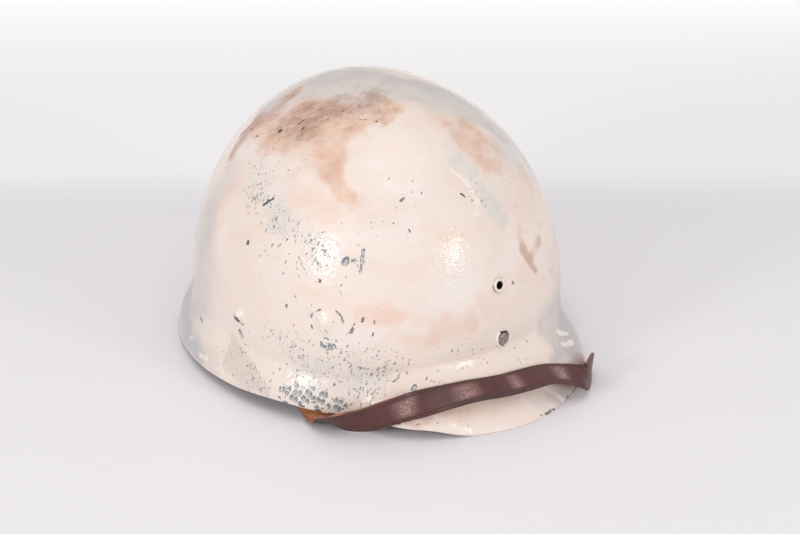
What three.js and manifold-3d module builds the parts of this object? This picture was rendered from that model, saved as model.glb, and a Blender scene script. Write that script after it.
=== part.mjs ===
// A moulded helmet liner: a thin painted shell with a short peak, an air eyelet, rivets,
// and a leather chin strap worn over the peak.
// Millimetres. +Z is up, the wearer's front is -Y and the wearer's left is +X.
// The helmet rests on its rim: the plane z = 0 touches the peak's front edge and the nape.
import * as THREE from 'three';
import { mergeVertices } from 'three/addons/utils/BufferGeometryUtils.js';
import Module from 'manifold-3d';

const wasm = await Module();
wasm.setup();

// ---------------------------------------------------------------- driving dimensions

const RUNNING_GAP = 0.3;
const BACK_SLACK = 0.3;     // more room at the wall's inner face, which curves towards a flat back

const SHELL = {
  halfWidth: 106.5,     // plan half-width of the bowl
  halfFront: 108.5,     // centre to the forehead
  halfRear: 122,        // centre to the nape
  planPower: 2.1,       // 2 is an ellipse, more is squarer
  springHeight: 38,     // height where the dome starts
  domeHeight: 132,      // rise of the dome above that
  draftDrop: 40,        // below the spring line the wall draws in by draft at this drop
  draft: 2.5,
  flarePower: 1.4,      // how sharply the flare leaves the wall
  wall: 2.8,
};

// Dome profile power by direction: forehead, ear, nape.
const DOME_POWERS = [
  { bearing: 0, power: 2.08 },
  { bearing: 90, power: 1.91 },
  { bearing: 180, power: 2.13 },
];

// Rim sections. bearing is in degrees from the front, the same on both sides.
// flare: how far the rim stands out from the wall. rim: height of the rim above the table.
// foot: height where the flare starts. turn: 1 turns the edge straight down, less keeps it sloping.
const RIM_SECTIONS = [
  { bearing: 0, flare: 32.5, rim: 0, foot: 37, turn: 0.62 },
  { bearing: 15, flare: 28, rim: 0, foot: 37, turn: 0.68 },
  { bearing: 30, flare: 22, rim: 6.5, foot: 36, turn: 0.9 },
  { bearing: 50, flare: 7, rim: 7, foot: 29, turn: 1 },
  { bearing: 70, flare: 9, rim: 9.5, foot: 31, turn: 1 },
  { bearing: 90, flare: 10, rim: 6.5, foot: 32, turn: 1 },
  { bearing: 135, flare: 12, rim: 1.5, foot: 33, turn: 1 },
  { bearing: 165, flare: 13.5, rim: 0, foot: 34, turn: 1 },
  { bearing: 180, flare: 14, rim: 0, foot: 34, turn: 1 },
];

const MESH_ROWS = { around: 72, dome: 13, wall: 1, flare: 8 };
const TURNED_SIDES = { eyelet: 24, rivet: 20, drill: 20 };
const DRILL_REACH = { inward: 14, outward: 4 };

const EYELET = {
  bearing: 0, height: 75,
  bore: 2.3, barrel: 2.9, flange: 4.4, lip: 1.1, backLip: 0.8, backFlange: 4.0,
};
// The rolled lip's section as shares of the way from bore to flange and of its height.
const ROLL = [
  { across: 1, up: 0 },
  { across: 0.9, up: 0.6 },
  { across: 0.57, up: 1 },
  { across: 0.24, up: 1 },
  { across: 0, up: 0.5 },
];

// Rivets by wall place. head and rise are the outer head's radius and height.
const RIVETS = [
  { name: 'front_rivet', bearing: 0, height: 42, head: 4.7, rise: 1.3, seat: 0.6 },
  { name: 'side_rivet_right', bearing: -57, height: 61.5, head: 7.2, rise: 1.0, seat: 0.5 },
  { name: 'side_rivet_left', bearing: 57, height: 61.5, head: 7.2, rise: 1.0, seat: 0.5 },
];
const RIVET_SHANK = 1.9;
const RIVET_BACK = { radius: 4, thick: 0.8 };
const HEAD_EDGE = 0.25;     // upright edge below the head's dome

// The strap studs go through the wall and on through the strap's end.
const STUDS = [
  { name: 'strap_stud_right', bearing: -91, height: 48.5, head: 5.4, rise: 1.6, seat: 0.4 },
  { name: 'strap_stud_left', bearing: 91, height: 48.5, head: 5.4, rise: 1.6, seat: 0.4 },
];
const STUD_COLLAR = { radius: 3.6, thick: 0.6 };
const STUD_BUTTON = { from: 8.7, radius: 3.6, thick: 1.4, bevel: 0.6 };

// tip is the length of the rounded end and blunt how much rounder than a half circle's it is.
const STRAP = {
  width: 16, thick: 2.2, holeRadius: 2.5, tip: 7.9, blunt: 0.4, steps: 130, across: 2,
};

// The strap's middle line from the wearer's right stud, under the rim, over the peak and
// back to the left stud. lean is the angle of the strap's width from upright, in degrees,
// positive as its upper edge leans outwards.
const STRAP_SECTIONS = [
  { x: -99.1, y: 8, z: 56, lean: 180 },
  { x: -100.3, y: -4, z: 41.5, lean: 180 },
  { x: -99.5, y: -15, z: 30, lean: 179 },
  { x: -97, y: -27, z: 21, lean: 172 },
  { x: -95.5, y: -39, z: 14.5, lean: 162 },
  { x: -95.5, y: -51, z: 8.9, lean: 142 },
  { x: -96, y: -63.5, z: 5, lean: 92 },
  { x: -98, y: -74, z: 7.8, lean: 43 },
  { x: -86.5, y: -89, z: 11.5, lean: 8 },
  { x: -73.5, y: -104, z: 20, lean: -8 },
  { x: -57.5, y: -111.5, z: 22.7, lean: -48 },
  { x: -35, y: -120, z: 24.6, lean: -67 },
  { x: -14, y: -125.5, z: 23.3, lean: -68 },
  { x: 1.5, y: -126.5, z: 21.8, lean: -67 },
  { x: 18.5, y: -128.8, z: 20.7, lean: -71 },
  { x: 33.5, y: -131.5, z: 16, lean: -62 },
  { x: 41, y: -133.2, z: 12.9, lean: -48 },
  { x: 46.5, y: -132.2, z: 10.6, lean: -14 },
  { x: 57, y: -125, z: 11, lean: 4.5 },
  { x: 59.8, y: -120.6, z: 6.6, lean: 38 },
  { x: 59.6, y: -113.8, z: 2, lean: 86 },
  { x: 62.7, y: -101.5, z: 3.3, lean: 81 },
  { x: 72, y: -86, z: 6, lean: 126 },
  { x: 79.5, y: -73, z: 8, lean: 140 },
  { x: 87, y: -55, z: 14, lean: 160 },
  { x: 93, y: -38, z: 22, lean: 172 },
  { x: 97.5, y: -22, z: 30, lean: 177 },
  { x: 99.9, y: -4, z: 41.5, lean: 180 },
  { x: 98.9, y: 8, z: 56, lean: 180 },
];

// ---------------------------------------------------------------- smooth tables

// Slope at each knot: the harmonic mean of its two neighbours' slopes, 0 at a turn.
function quietSlopes(xs, ys) {
  const rise = xs.slice(1).map((x, i) => (ys[i + 1] - ys[i]) / (x - xs[i]));
  return xs.map((x, i) => {
    const before = rise[i - 1];
    const after = rise[i];
    if (before === undefined || after === undefined || before * after <= 0) return 0;
    const left = xs[i] - xs[i - 1];
    const right = xs[i + 1] - xs[i];
    const weightBefore = 2 * right + left;
    const weightAfter = right + 2 * left;
    return (weightBefore + weightAfter) / (weightBefore / before + weightAfter / after);
  });
}

// Slope at each knot: the chord over both neighbours, one-sided at the ends.
function chordSlopes(xs, ys) {
  const last = xs.length - 1;
  return xs.map((x, i) => {
    const a = Math.max(i - 1, 0);
    const b = Math.min(i + 1, last);
    return (ys[b] - ys[a]) / (xs[b] - xs[a]);
  });
}

// A cubic through the knots with the given slopes.
function cubicTable(xs, ys, slopes) {
  return (x) => {
    let i = 0;
    while (i < xs.length - 2 && x > xs[i + 1]) i += 1;
    const span = xs[i + 1] - xs[i];
    const u = Math.min(Math.max((x - xs[i]) / span, 0), 1);
    const v = 1 - u;
    return ys[i] * v * v * (1 + 2 * u) + ys[i + 1] * u * u * (3 - 2 * u)
      + span * u * v * (slopes[i] * v - slopes[i + 1] * u);
  };
}

function bearingTable(rows, column) {
  const xs = rows.map((row) => row.bearing);
  const ys = rows.map((row) => row[column]);
  const read = cubicTable(xs, ys, quietSlopes(xs, ys));
  return (bearing) => read(Math.abs(THREE.MathUtils.euclideanModulo(bearing + 180, 360) - 180));
}

const flareAt = bearingTable(RIM_SECTIONS, 'flare');
const rimAt = bearingTable(RIM_SECTIONS, 'rim');
const footAt = bearingTable(RIM_SECTIONS, 'foot');
const turnAt = bearingTable(RIM_SECTIONS, 'turn');
const domePowerAt = bearingTable(DOME_POWERS, 'power');

// ---------------------------------------------------------------- the shell's form

function outward(bearing) {
  const angle = THREE.MathUtils.degToRad(bearing);
  return new THREE.Vector3(Math.sin(angle), -Math.cos(angle), 0);
}

// Radius of the plan outline: a superellipse, longer behind than in front.
function planRadius(bearing) {
  const dir = outward(bearing);
  const halfLength = dir.y < 0 ? SHELL.halfFront : SHELL.halfRear;
  const across = (Math.abs(dir.x) / SHELL.halfWidth) ** SHELL.planPower;
  const along = (Math.abs(dir.y) / halfLength) ** SHELL.planPower;
  return (across + along) ** (-1 / SHELL.planPower);
}

// Radius of the wall at a height, before any flare.
function wallRadius(bearing, z) {
  const rise = Math.min((z - SHELL.springHeight) / SHELL.domeHeight, 1);
  if (rise > 0) {
    const power = domePowerAt(bearing);
    return planRadius(bearing) * (1 - rise ** power) ** (1 / power);
  }
  const drop = (SHELL.springHeight - z) / SHELL.draftDrop;
  return planRadius(bearing) - SHELL.draft * drop * drop;
}

// A point on the outer face. zone is dome, wall or flare, and t runs 0 to 1 downwards in it.
function outerPoint(bearing, zone, t) {
  const foot = footAt(bearing);
  let z = SHELL.springHeight + (foot - SHELL.springHeight) * t;
  let radius = wallRadius(bearing, z);
  if (zone === 'dome') {
    const power = domePowerAt(bearing);
    const angle = (t * Math.PI) / 2;
    z = SHELL.springHeight + SHELL.domeHeight * Math.max(Math.cos(angle), 0) ** (2 / power);
    radius = planRadius(bearing) * Math.sin(angle) ** (2 / power);
  }
  if (zone === 'flare') {
    const turn = (turnAt(bearing) * Math.PI) / 2;
    z = foot + (rimAt(bearing) - foot) * t;
    const share = (Math.sin(turn * t) / Math.sin(turn)) ** SHELL.flarePower;
    radius = wallRadius(bearing, z) + flareAt(bearing) * share;
  }
  return outward(bearing).multiplyScalar(radius).setZ(z);
}

// Outward normal of the outer face, from two short steps along it.
function outerNormal(bearing, zone, t) {
  const step = 0.004;
  const t0 = Math.max(t - step, step);
  const t1 = Math.min(t + step, 1);
  const down = outerPoint(bearing, zone, t1).sub(outerPoint(bearing, zone, t0));
  const round = outerPoint(bearing + 0.5, zone, t).sub(outerPoint(bearing - 0.5, zone, t));
  return down.cross(round).normalize();
}

// A place on the plain wall: its point and outward normal.
function wallPlace(bearing, z) {
  const at = (b, h) => outward(b).multiplyScalar(wallRadius(b, h)).setZ(h);
  const round = at(bearing + 0.5, z).sub(at(bearing - 0.5, z));
  const up = at(bearing, z + 0.5).sub(at(bearing, z - 0.5));
  return { point: at(bearing, z), normal: round.cross(up).normalize() };
}

// ---------------------------------------------------------------- solids and booleans

function closedGeometry(points, faces) {
  const geometry = new THREE.BufferGeometry();
  const flat = points.flatMap((point) => [point.x, point.y, point.z]);
  geometry.setAttribute('position', new THREE.Float32BufferAttribute(flat, 3));
  geometry.setIndex(faces.flat());
  return geometry;
}

function toManifold(geometry) {
  const bare = geometry.clone();
  bare.deleteAttribute('normal');
  bare.deleteAttribute('uv');
  const merged = mergeVertices(bare, 1e-4);
  return new wasm.Manifold(new wasm.Mesh({
    numProp: 3,
    vertProperties: new Float32Array(merged.attributes.position.array),
    triVerts: new Uint32Array(merged.index.array),
  }));
}

// The mesh of a cut solid, with slivers finer than weld joined away.
function toGeometry(solid) {
  const weld = 0.01;
  const mesh = solid.simplify(weld).getMesh();
  const geometry = new THREE.BufferGeometry();
  geometry.setAttribute('position', new THREE.BufferAttribute(mesh.vertProperties, 3));
  geometry.setIndex(new THREE.BufferAttribute(mesh.triVerts, 1));
  return geometry;
}

// Turns a piece made about +Z so that +Z follows the normal, and puts it at the point.
function placed(geometry, point, normal) {
  const turn = new THREE.Quaternion().setFromUnitVectors(new THREE.Vector3(0, 0, 1), normal);
  return geometry.applyQuaternion(turn).translate(point.x, point.y, point.z);
}

// A turned piece about +Z from radius and height pairs.
function turned(profile, segments) {
  const points = profile.map(([radius, height]) => new THREE.Vector2(radius, height));
  return new THREE.LatheGeometry(points, segments).rotateX(Math.PI / 2);
}

// A rod along the wall's normal at a place, to cut a round hole with.
function drill({ bearing, height }, radius) {
  const { inward, outward: out } = DRILL_REACH;
  const rod = turned([[0, -inward], [radius, -inward], [radius, out], [0, out]], TURNED_SIDES.drill);
  const { point, normal } = wallPlace(bearing, height);
  return toManifold(placed(rod, point, normal));
}

// ---------------------------------------------------------------- shell

function shellGeometry() {
  const rows = [];
  const addRows = (zone, count) => {
    for (let i = 1; i <= count; i += 1) rows.push({ zone, t: i / count });
  };
  addRows('dome', MESH_ROWS.dome);
  addRows('wall', MESH_ROWS.wall);
  addRows('flare', MESH_ROWS.flare);

  const around = MESH_ROWS.around;
  const crown = SHELL.springHeight + SHELL.domeHeight;
  const points = [new THREE.Vector3(0, 0, crown), new THREE.Vector3(0, 0, crown - SHELL.wall)];
  const outerIndex = (row, k) => 2 + row * around + (k % around);
  const innerIndex = (row, k) => outerIndex(row + rows.length, k);
  const bearings = Array.from({ length: around }, (_, k) => (360 * k) / around);

  rows.forEach(({ zone, t }) => bearings.forEach((b) => points.push(outerPoint(b, zone, t))));
  rows.forEach(({ zone, t }, row) => bearings.forEach((b, k) => {
    const inset = outerNormal(b, zone, t).multiplyScalar(SHELL.wall);
    const inner = points[outerIndex(row, k)].clone().sub(inset);
    if (row === rows.length - 1) inner.z = rimAt(b);
    points.push(inner);
  }));

  const faces = [];
  const last = rows.length - 1;
  for (let k = 0; k < around; k += 1) {
    faces.push([0, outerIndex(0, k), outerIndex(0, k + 1)]);
    faces.push([1, innerIndex(0, k + 1), innerIndex(0, k)]);
    for (let row = 0; row < last; row += 1) {
      const [a, b] = [outerIndex(row, k), outerIndex(row, k + 1)];
      const [c, d] = [outerIndex(row + 1, k), outerIndex(row + 1, k + 1)];
      faces.push([a, c, d], [a, d, b]);
      const [e, f] = [innerIndex(row, k), innerIndex(row, k + 1)];
      const [g, h] = [innerIndex(row + 1, k), innerIndex(row + 1, k + 1)];
      faces.push([e, h, g], [e, f, h]);
    }
    const [p, q] = [outerIndex(last, k), outerIndex(last, k + 1)];
    const [r, s] = [innerIndex(last, k), innerIndex(last, k + 1)];
    faces.push([p, r, s], [p, s, q]);
  }
  return closedGeometry(points, faces);
}

function drilledShell() {
  let shell = toManifold(shellGeometry());
  shell = shell.subtract(drill(EYELET, EYELET.barrel + RUNNING_GAP));
  [...RIVETS, ...STUDS].forEach((rivet) => {
    shell = shell.subtract(drill(rivet, RIVET_SHANK + RUNNING_GAP));
  });
  return toGeometry(shell);
}

// ---------------------------------------------------------------- eyelet and rivets

// A tube through the wall: a rounded lip outside, a flat one inside.
function eyeletGeometry() {
  const { bore, barrel, flange, lip, backLip, backFlange } = EYELET;
  const front = RUNNING_GAP;
  const back = -(SHELL.wall + RUNNING_GAP + BACK_SLACK);
  const roll = ROLL.map(({ across, up }) => [bore + across * (flange - bore), front + up * lip]);
  const profile = [
    [bore, back - backLip], [backFlange, back - backLip], [backFlange, back], [barrel, back],
    [barrel, front], ...roll, [bore, back - backLip],
  ];
  return turned(profile, TURNED_SIDES.eyelet);
}

// Points of a low dome from its edge to the axis.
function domeProfile(radius, base, rise) {
  return [0, 0.35, 0.65, 0.87, 1].map((share) => {
    const angle = (share * Math.PI) / 2;
    return [radius * Math.cos(angle), base + rise * Math.sin(angle)];
  }).map(([r, h], i, all) => (i === all.length - 1 ? [0, h] : [r, h]));
}

function rivetGeometry({ head, rise, seat }) {
  const back = -(SHELL.wall + RUNNING_GAP + BACK_SLACK);
  const profile = [
    [0, back - RIVET_BACK.thick], [RIVET_BACK.radius, back - RIVET_BACK.thick],
    [RIVET_BACK.radius, back], [RIVET_SHANK, back], [RIVET_SHANK, seat],
    [head, seat], ...domeProfile(head, seat + HEAD_EDGE, rise),
  ];
  return turned(profile, TURNED_SIDES.rivet);
}

// A rivet whose shank goes on inwards through the strap to a button.
function studGeometry({ head, rise, seat }) {
  const collarTop = -(SHELL.wall + RUNNING_GAP + BACK_SLACK);
  const collarEnd = collarTop - STUD_COLLAR.thick;
  const { from, radius, thick, bevel } = STUD_BUTTON;
  const profile = [
    [0, -from - thick], [radius - bevel, -from - thick], [radius, -from - thick + bevel],
    [radius, -from], [RIVET_SHANK, -from], [RIVET_SHANK, collarEnd],
    [STUD_COLLAR.radius, collarEnd], [STUD_COLLAR.radius, collarTop], [RIVET_SHANK, collarTop],
    [RIVET_SHANK, seat], [head, seat], ...domeProfile(head, seat + HEAD_EDGE, rise),
  ];
  return turned(profile, TURNED_SIDES.rivet);
}

// ---------------------------------------------------------------- chin strap

// The strap's middle line as cubics through the sections, by chord length.
function strapLine() {
  const columns = ['x', 'y', 'z', 'lean'];
  const stations = [0];
  for (let i = 1; i < STRAP_SECTIONS.length; i += 1) {
    const [a, b] = [STRAP_SECTIONS[i - 1], STRAP_SECTIONS[i]];
    stations.push(stations[i - 1] + Math.hypot(b.x - a.x, b.y - a.y, b.z - a.z));
  }
  const [x, y, z, lean] = columns.map((column) => {
    const values = STRAP_SECTIONS.map((row) => row[column]);
    return cubicTable(stations, values, chordSlopes(stations, values));
  });
  const length = stations[stations.length - 1];
  return { length, at: (s) => new THREE.Vector3(x(s), y(s), z(s)), lean };
}

// A flat band swept along the line: its width leans from upright, its grain side faces out.
function strapGeometry() {
  const line = strapLine();
  const { width, thick, tip, blunt, steps, across } = STRAP;
  const points = [];
  for (let i = 0; i <= steps; i += 1) {
    const s = (line.length * i) / steps;
    const step = 0.5;
    const ahead = line.at(Math.min(s + step, line.length));
    const along = ahead.sub(line.at(Math.max(s - step, 0))).normalize();
    const upright = new THREE.Vector3(0, 0, 1).addScaledVector(along, -along.z).normalize();
    const outer = along.clone().cross(upright);
    const lean = THREE.MathUtils.degToRad(line.lean(s));
    const edge = upright.clone().multiplyScalar(Math.cos(lean));
    edge.addScaledVector(outer, Math.sin(lean));
    const grain = along.clone().cross(edge);
    const fromEnd = Math.min(s, line.length - s, tip);
    const round = Math.sqrt(1 - ((tip - fromEnd) / (tip + blunt)) ** 2);
    for (const side of [1, -1]) {
      for (let j = 0; j <= across; j += 1) {
        const offset = side * (j / across - 0.5) * width * round;
        const point = line.at(s).addScaledVector(edge, offset);
        points.push(point.addScaledVector(grain, (side * thick) / 2));
      }
    }
  }
  const ring = 2 * (across + 1);
  const faces = [];
  for (let i = 0; i < steps; i += 1) {
    for (let j = 0; j < ring; j += 1) {
      const [a, b] = [i * ring + j, i * ring + ((j + 1) % ring)];
      faces.push([a, a + ring, b + ring], [a, b + ring, b]);
    }
  }
  for (let j = 1; j < ring - 1; j += 1) {
    faces.push([0, j, j + 1]);
    faces.push([steps * ring, steps * ring + j + 1, steps * ring + j]);
  }
  return closedGeometry(points, faces);
}

function punchedStrap() {
  let strap = toManifold(strapGeometry());
  STUDS.forEach((stud) => {
    strap = strap.subtract(drill(stud, STRAP.holeRadius));
  });
  return toGeometry(strap);
}

// ---------------------------------------------------------------- assembly

const MATERIALS = {
  shell: { color: 0xeee2d8, roughness: 0.35, metalness: 0 },
  metal: { color: 0x8d8478, roughness: 0.45, metalness: 0.8 },
  paintedHead: { color: 0xe9ddd2, roughness: 0.4, metalness: 0.1 },
  strap: { color: 0x643c3a, roughness: 0.45, metalness: 0 },
};

const helmet = new THREE.Group();

function addPiece(name, geometry, finish) {
  const mesh = new THREE.Mesh(geometry, new THREE.MeshStandardMaterial(MATERIALS[finish]));
  mesh.name = name;
  helmet.add(mesh);
  return mesh;
}

// Adds a turned piece at its place on the wall, facing along the wall's normal.
function addWallPiece(place, geometry, finish) {
  const { point, normal } = wallPlace(place.bearing, place.height);
  const mesh = addPiece(place.name, geometry, finish);
  mesh.position.copy(point);
  mesh.quaternion.setFromUnitVectors(new THREE.Vector3(0, 0, 1), normal);
}

addPiece('shell', drilledShell(), 'shell');
addWallPiece({ ...EYELET, name: 'air_eyelet' }, eyeletGeometry(), 'paintedHead');
RIVETS.forEach((rivet) => {
  addWallPiece(rivet, rivetGeometry(rivet), rivet.bearing === 0 ? 'metal' : 'paintedHead');
});
STUDS.forEach((stud) => addWallPiece(stud, studGeometry(stud), 'paintedHead'));
addPiece('chin_strap', punchedStrap(), 'strap');

// Everything above is laid out from the bowl's axis. The whole moves along Y so that the
// front edge and the nape's edge are equally far from the origin.
const frontReach = wallRadius(0, 0) + flareAt(0);
const rearReach = wallRadius(180, 0) + flareAt(180);
helmet.children.forEach((mesh) => {
  mesh.position.y += (frontReach - rearReach) / 2;
});

export default helmet;
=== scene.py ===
# %% [markdown]
# # A worn military helmet, dressed in Blender
# The CAD model holds the helmet's true sizes: a thin moulded shell with a short peak, an air
# eyelet, rivets and a leather chin strap. Here it gets its looks. Each step has a cell of text,
# then short cells of code that you can run one after the other.
#
# They stay where they are, so the new pieces are made in the same place and at the same size.

# %% Load the CAD frame
import math

import bmesh
import bpy
import numpy as np
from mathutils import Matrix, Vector


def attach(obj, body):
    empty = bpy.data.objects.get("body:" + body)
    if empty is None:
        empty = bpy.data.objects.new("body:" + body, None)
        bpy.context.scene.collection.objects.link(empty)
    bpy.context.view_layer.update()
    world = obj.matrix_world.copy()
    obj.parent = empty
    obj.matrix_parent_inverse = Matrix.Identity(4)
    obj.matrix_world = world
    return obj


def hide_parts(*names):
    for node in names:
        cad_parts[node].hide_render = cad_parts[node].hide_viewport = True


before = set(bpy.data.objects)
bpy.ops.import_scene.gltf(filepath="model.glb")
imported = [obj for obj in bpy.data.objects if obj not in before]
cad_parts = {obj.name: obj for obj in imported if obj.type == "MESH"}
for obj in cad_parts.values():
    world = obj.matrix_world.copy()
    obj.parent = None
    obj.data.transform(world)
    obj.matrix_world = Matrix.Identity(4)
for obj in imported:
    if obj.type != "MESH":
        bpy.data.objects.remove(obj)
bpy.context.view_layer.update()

# %% [markdown]
# ## The camera
# A product shot is taken with a long lens from well back, so that the dome keeps its true
# shape. A camera in Blender looks along its own -Z. The easy way to aim one is to work out the
# direction back from the target to the lens, and to turn that into a rotation.
# The lens shift slides the picture without tilting the camera.

# %% Camera
VIEW = {"azimuth": -40.1, "elevation": 24.8, "distance": 1.4, "lens": 104.6}
AIM = Vector((0.0, 0.0025, 0.080))
SHIFT = {"x": 0.024, "y": -0.0608}


def direction(azimuth, elevation):
    """The way from the target towards a lens or lamp: azimuth turns from -Y, elevation rises."""
    a, e = math.radians(azimuth), math.radians(elevation)
    return Vector((math.sin(a) * math.cos(e), -math.cos(a) * math.cos(e), math.sin(e)))


camera = bpy.data.objects.new("camera", bpy.data.cameras.new("camera"))
bpy.context.scene.collection.objects.link(camera)
camera.data.lens = VIEW["lens"]
camera.data.sensor_width = 36.0
camera.data.shift_x = SHIFT["x"]
camera.data.shift_y = SHIFT["y"]
camera.data.clip_end = 50.0
back = direction(VIEW["azimuth"], VIEW["elevation"])
camera.location = AIM + back * VIEW["distance"]
camera.rotation_euler = back.to_track_quat("Z", "Y").to_euler()
bpy.context.scene.camera = camera
print("camera at", [round(v, 3) for v in camera.location])

# %% [markdown]
# ## Light
# The helmet stands on a pale table. Two soft boxes stand a little above it, one at each side
# of the view, and a wide one hangs overhead. A fourth lamp hangs behind the helmet and
# brightens the table there, and the rest is a bright, even surround. The colour transform is
# set to Standard, because a pale high-key scene would turn grey under a film curve.

# %% Lights and surround
LAMPS = [
    # name, azimuth, elevation, distance, width, height, power in watts
    ("soft_box_right", -84, 18.5, 1.7, 0.48, 0.48, 7.6),
    ("soft_box_front", 10, 15.5, 1.7, 0.37, 0.37, 4.8),
    ("overhead", -20, 74, 2.0, 1.60, 1.60, 7.2),
]
for name, azimuth, elevation, distance, width, height, power in LAMPS:
    lamp = bpy.data.lights.new(name, "AREA")
    lamp.shape = "ELLIPSE"
    lamp.size, lamp.size_y, lamp.energy = width, height, power
    holder = bpy.data.objects.new(name, lamp)
    away = direction(azimuth, elevation)
    holder.location = AIM + away * distance
    holder.rotation_euler = away.to_track_quat("Z", "Y").to_euler()
    bpy.context.scene.collection.objects.link(holder)

wash = bpy.data.lights.new("backdrop_wash", "AREA")
wash.shape, wash.size, wash.size_y, wash.energy = "RECTANGLE", 1.6, 0.5, 4.0
wash.spread = math.radians(80)
holder = bpy.data.objects.new("backdrop_wash", wash)
behind_it = -direction(VIEW["azimuth"], 0.0)
holder.visible_glossy = False
holder.location = behind_it * 0.95 + Vector((0, 0, 0.9))
holder.rotation_euler = (-behind_it * 0.25 + Vector((0, 0, 1))).to_track_quat("Z", "Y").to_euler()
bpy.context.scene.collection.objects.link(holder)

world = bpy.data.worlds.new("surround")
world.use_nodes = True
surround = world.node_tree.nodes["Background"]
surround.inputs["Color"].default_value = (1.0, 0.985, 0.99, 1.0)
surround.inputs["Strength"].default_value = 0.68
bpy.context.scene.world = world
bpy.context.scene.view_settings.view_transform = "Standard"
print(len(LAMPS), "lamps")

# %% [markdown]
# ## Small tools
# A material is a tree of nodes. Building it by hand is slow to read, so three helpers do the
# typing: one adds a node and fills its sockets, one mixes two colours, and one turns a soft
# value into a crisp mask. Colours are written as the eight-bit values that a paint chart
# gives, and turned into the linear values that the renderer works in.

# %% Node helpers
def chart(red, green, blue):
    """A chart colour, 0 to 255, as linear light: ((c + 0.055) / 1.055) to the power 2.4."""
    c = np.array([red, green, blue]) / 255.0
    linear = np.where(c <= 0.04045, c / 12.92, ((c + 0.055) / 1.055) ** 2.4)
    return (*[float(v) for v in linear], 1.0)


class Finish:
    """A material under construction: its node tree and its shader."""

    def __init__(self, name):
        self.material = bpy.data.materials.new(name)
        self.material.use_nodes = True
        self.nodes = self.material.node_tree.nodes
        self.links = self.material.node_tree.links
        self.shader = self.nodes["Principled BSDF"]

    def put(self, socket, value):
        """Links an output to a socket, or writes a plain value into it."""
        if isinstance(value, bpy.types.NodeSocket):
            self.links.new(value, socket)
        else:
            socket.default_value = value

    def add(self, kind, output=0, settings=None, **inputs):
        """Adds a node of a kind, fills its inputs by name and returns one of its outputs."""
        node = self.nodes.new("ShaderNode" + kind)
        for key, value in (settings or {}).items():
            setattr(node, key, value)
        for key, value in inputs.items():
            index = int(key[1:]) if key[0] == "i" and key[1:].isdigit() else key.replace("_", " ")
            self.put(node.inputs[index], value)
        return node.outputs[output]

    def maths(self, operation, a, b=0.0, clamp=False):
        settings = {"operation": operation, "use_clamp": clamp}
        return self.add("Math", 0, settings, i0=a, i1=b)

    def vector(self, operation, a, b=(0, 0, 0)):
        return self.add("VectorMath", 0, {"operation": operation}, i0=a, i1=b)

    def mix(self, share, a, b):
        """One colour over another: a where share is 0, b where it is 1."""
        return self.add("Mix", 2, {"data_type": "RGBA"}, i0=share, i6=a, i7=b)

    def step(self, value, low, high):
        """0 below low, 1 above high and an S curve between. low may be the larger one."""
        settings = {"interpolation_type": "SMOOTHSTEP"}
        return self.add("MapRange", 0, settings, i0=value, i1=low, i2=high, i3=0.0, i4=1.0)

    def noise(self, where, scale, detail=3.0, rough=0.55, output=0):
        """Cloudy noise round 0.5. Scale is in clouds per metre."""
        return self.add("TexNoise", output, None, Vector=where, Scale=scale, Detail=detail,
                        Roughness=rough)

    def attribute(self, name, output=2):
        """A value stored on the mesh: output 0 is a colour, 1 a vector and 2 a number."""
        return self.add("Attribute", output, {"attribute_name": name})

    def set(self, **inputs):
        for key, value in inputs.items():
            self.put(self.shader.inputs[key.replace("_", " ")], value)


print("helpers ready")

# %% [markdown]
# ## The table it stands on
# The floor is a large plain sheet, pale and almost matt. A trace of slow noise in its colour
# keeps it from looking computed.

# %% Floor
floor_mesh = bpy.data.meshes.new("floor")
reach = 8.0
corners = [(-reach, -reach, 0), (reach, -reach, 0), (reach, reach, 0), (-reach, reach, 0)]
floor_mesh.from_pydata(corners, [], [(0, 1, 2, 3)])
floor = bpy.data.objects.new("floor", floor_mesh)
bpy.context.scene.collection.objects.link(floor)
table_top = Finish("table_top")
spot = table_top.add("TexCoord", 3)
clouds = table_top.noise(spot, 3.0)
line = direction(VIEW["azimuth"], 0.0)
behind = table_top.add("VectorMath", 1, {"operation": "DOT_PRODUCT"}, i0=spot, i1=tuple(-line))
far = table_top.step(behind, 0.19, 0.27)
sheet_white = table_top.mix(clouds, chart(235, 233, 237), chart(238, 236, 240))
table_top.set(
    Base_Color=table_top.mix(far, sheet_white, chart(252, 251, 252)),
    Roughness=0.55,
    Specular_IOR_Level=0.25,
)
floor_mesh.materials.append(table_top.material)
print("floor", 2 * reach, "m wide")

# %% [markdown]
# ## The shell's form
# The shell is one moulded sheet, 2.8 mm thick. Its plan is a superellipse, an oval with
# slightly square shoulders, and every slice from crown to brow is one too. Near its foot the
# wall turns outwards into a flare, which is short at the sides and long in front, where it
# makes the peak.
# Such a form is easier to compute than to sculpt: a point is a bearing round the head and a
# height. Bearing 0 is the front and 90 is the wearer's left. Sizes here are in millimetres.

# %% Shell sizes
MM = 0.001
SHELL = {
    "half_width": 106.5, "half_front": 108.5, "half_rear": 122.0, "plan_power": 2.1,
    "spring": 38.0, "dome": 132.0, "draft_drop": 40.0, "draft": 2.5,
    "flare_power": 1.4, "wall": 2.8, "forward": 2.5,
}
DOME_POWERS = [(0, 2.08), (90, 1.91), (180, 2.13)]
RIM = [
    # bearing, flare, rim height, foot height, turn
    (0, 32.5, 0, 37, 0.62), (15, 28, 0, 37, 0.68), (30, 22, 6.5, 36, 0.9),
    (50, 7, 7, 29, 1), (70, 9, 9.5, 31, 1), (90, 10, 6.5, 32, 1),
    (135, 12, 1.5, 33, 1), (165, 13.5, 0, 34, 1), (180, 14, 0, 34, 1),
]


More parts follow.
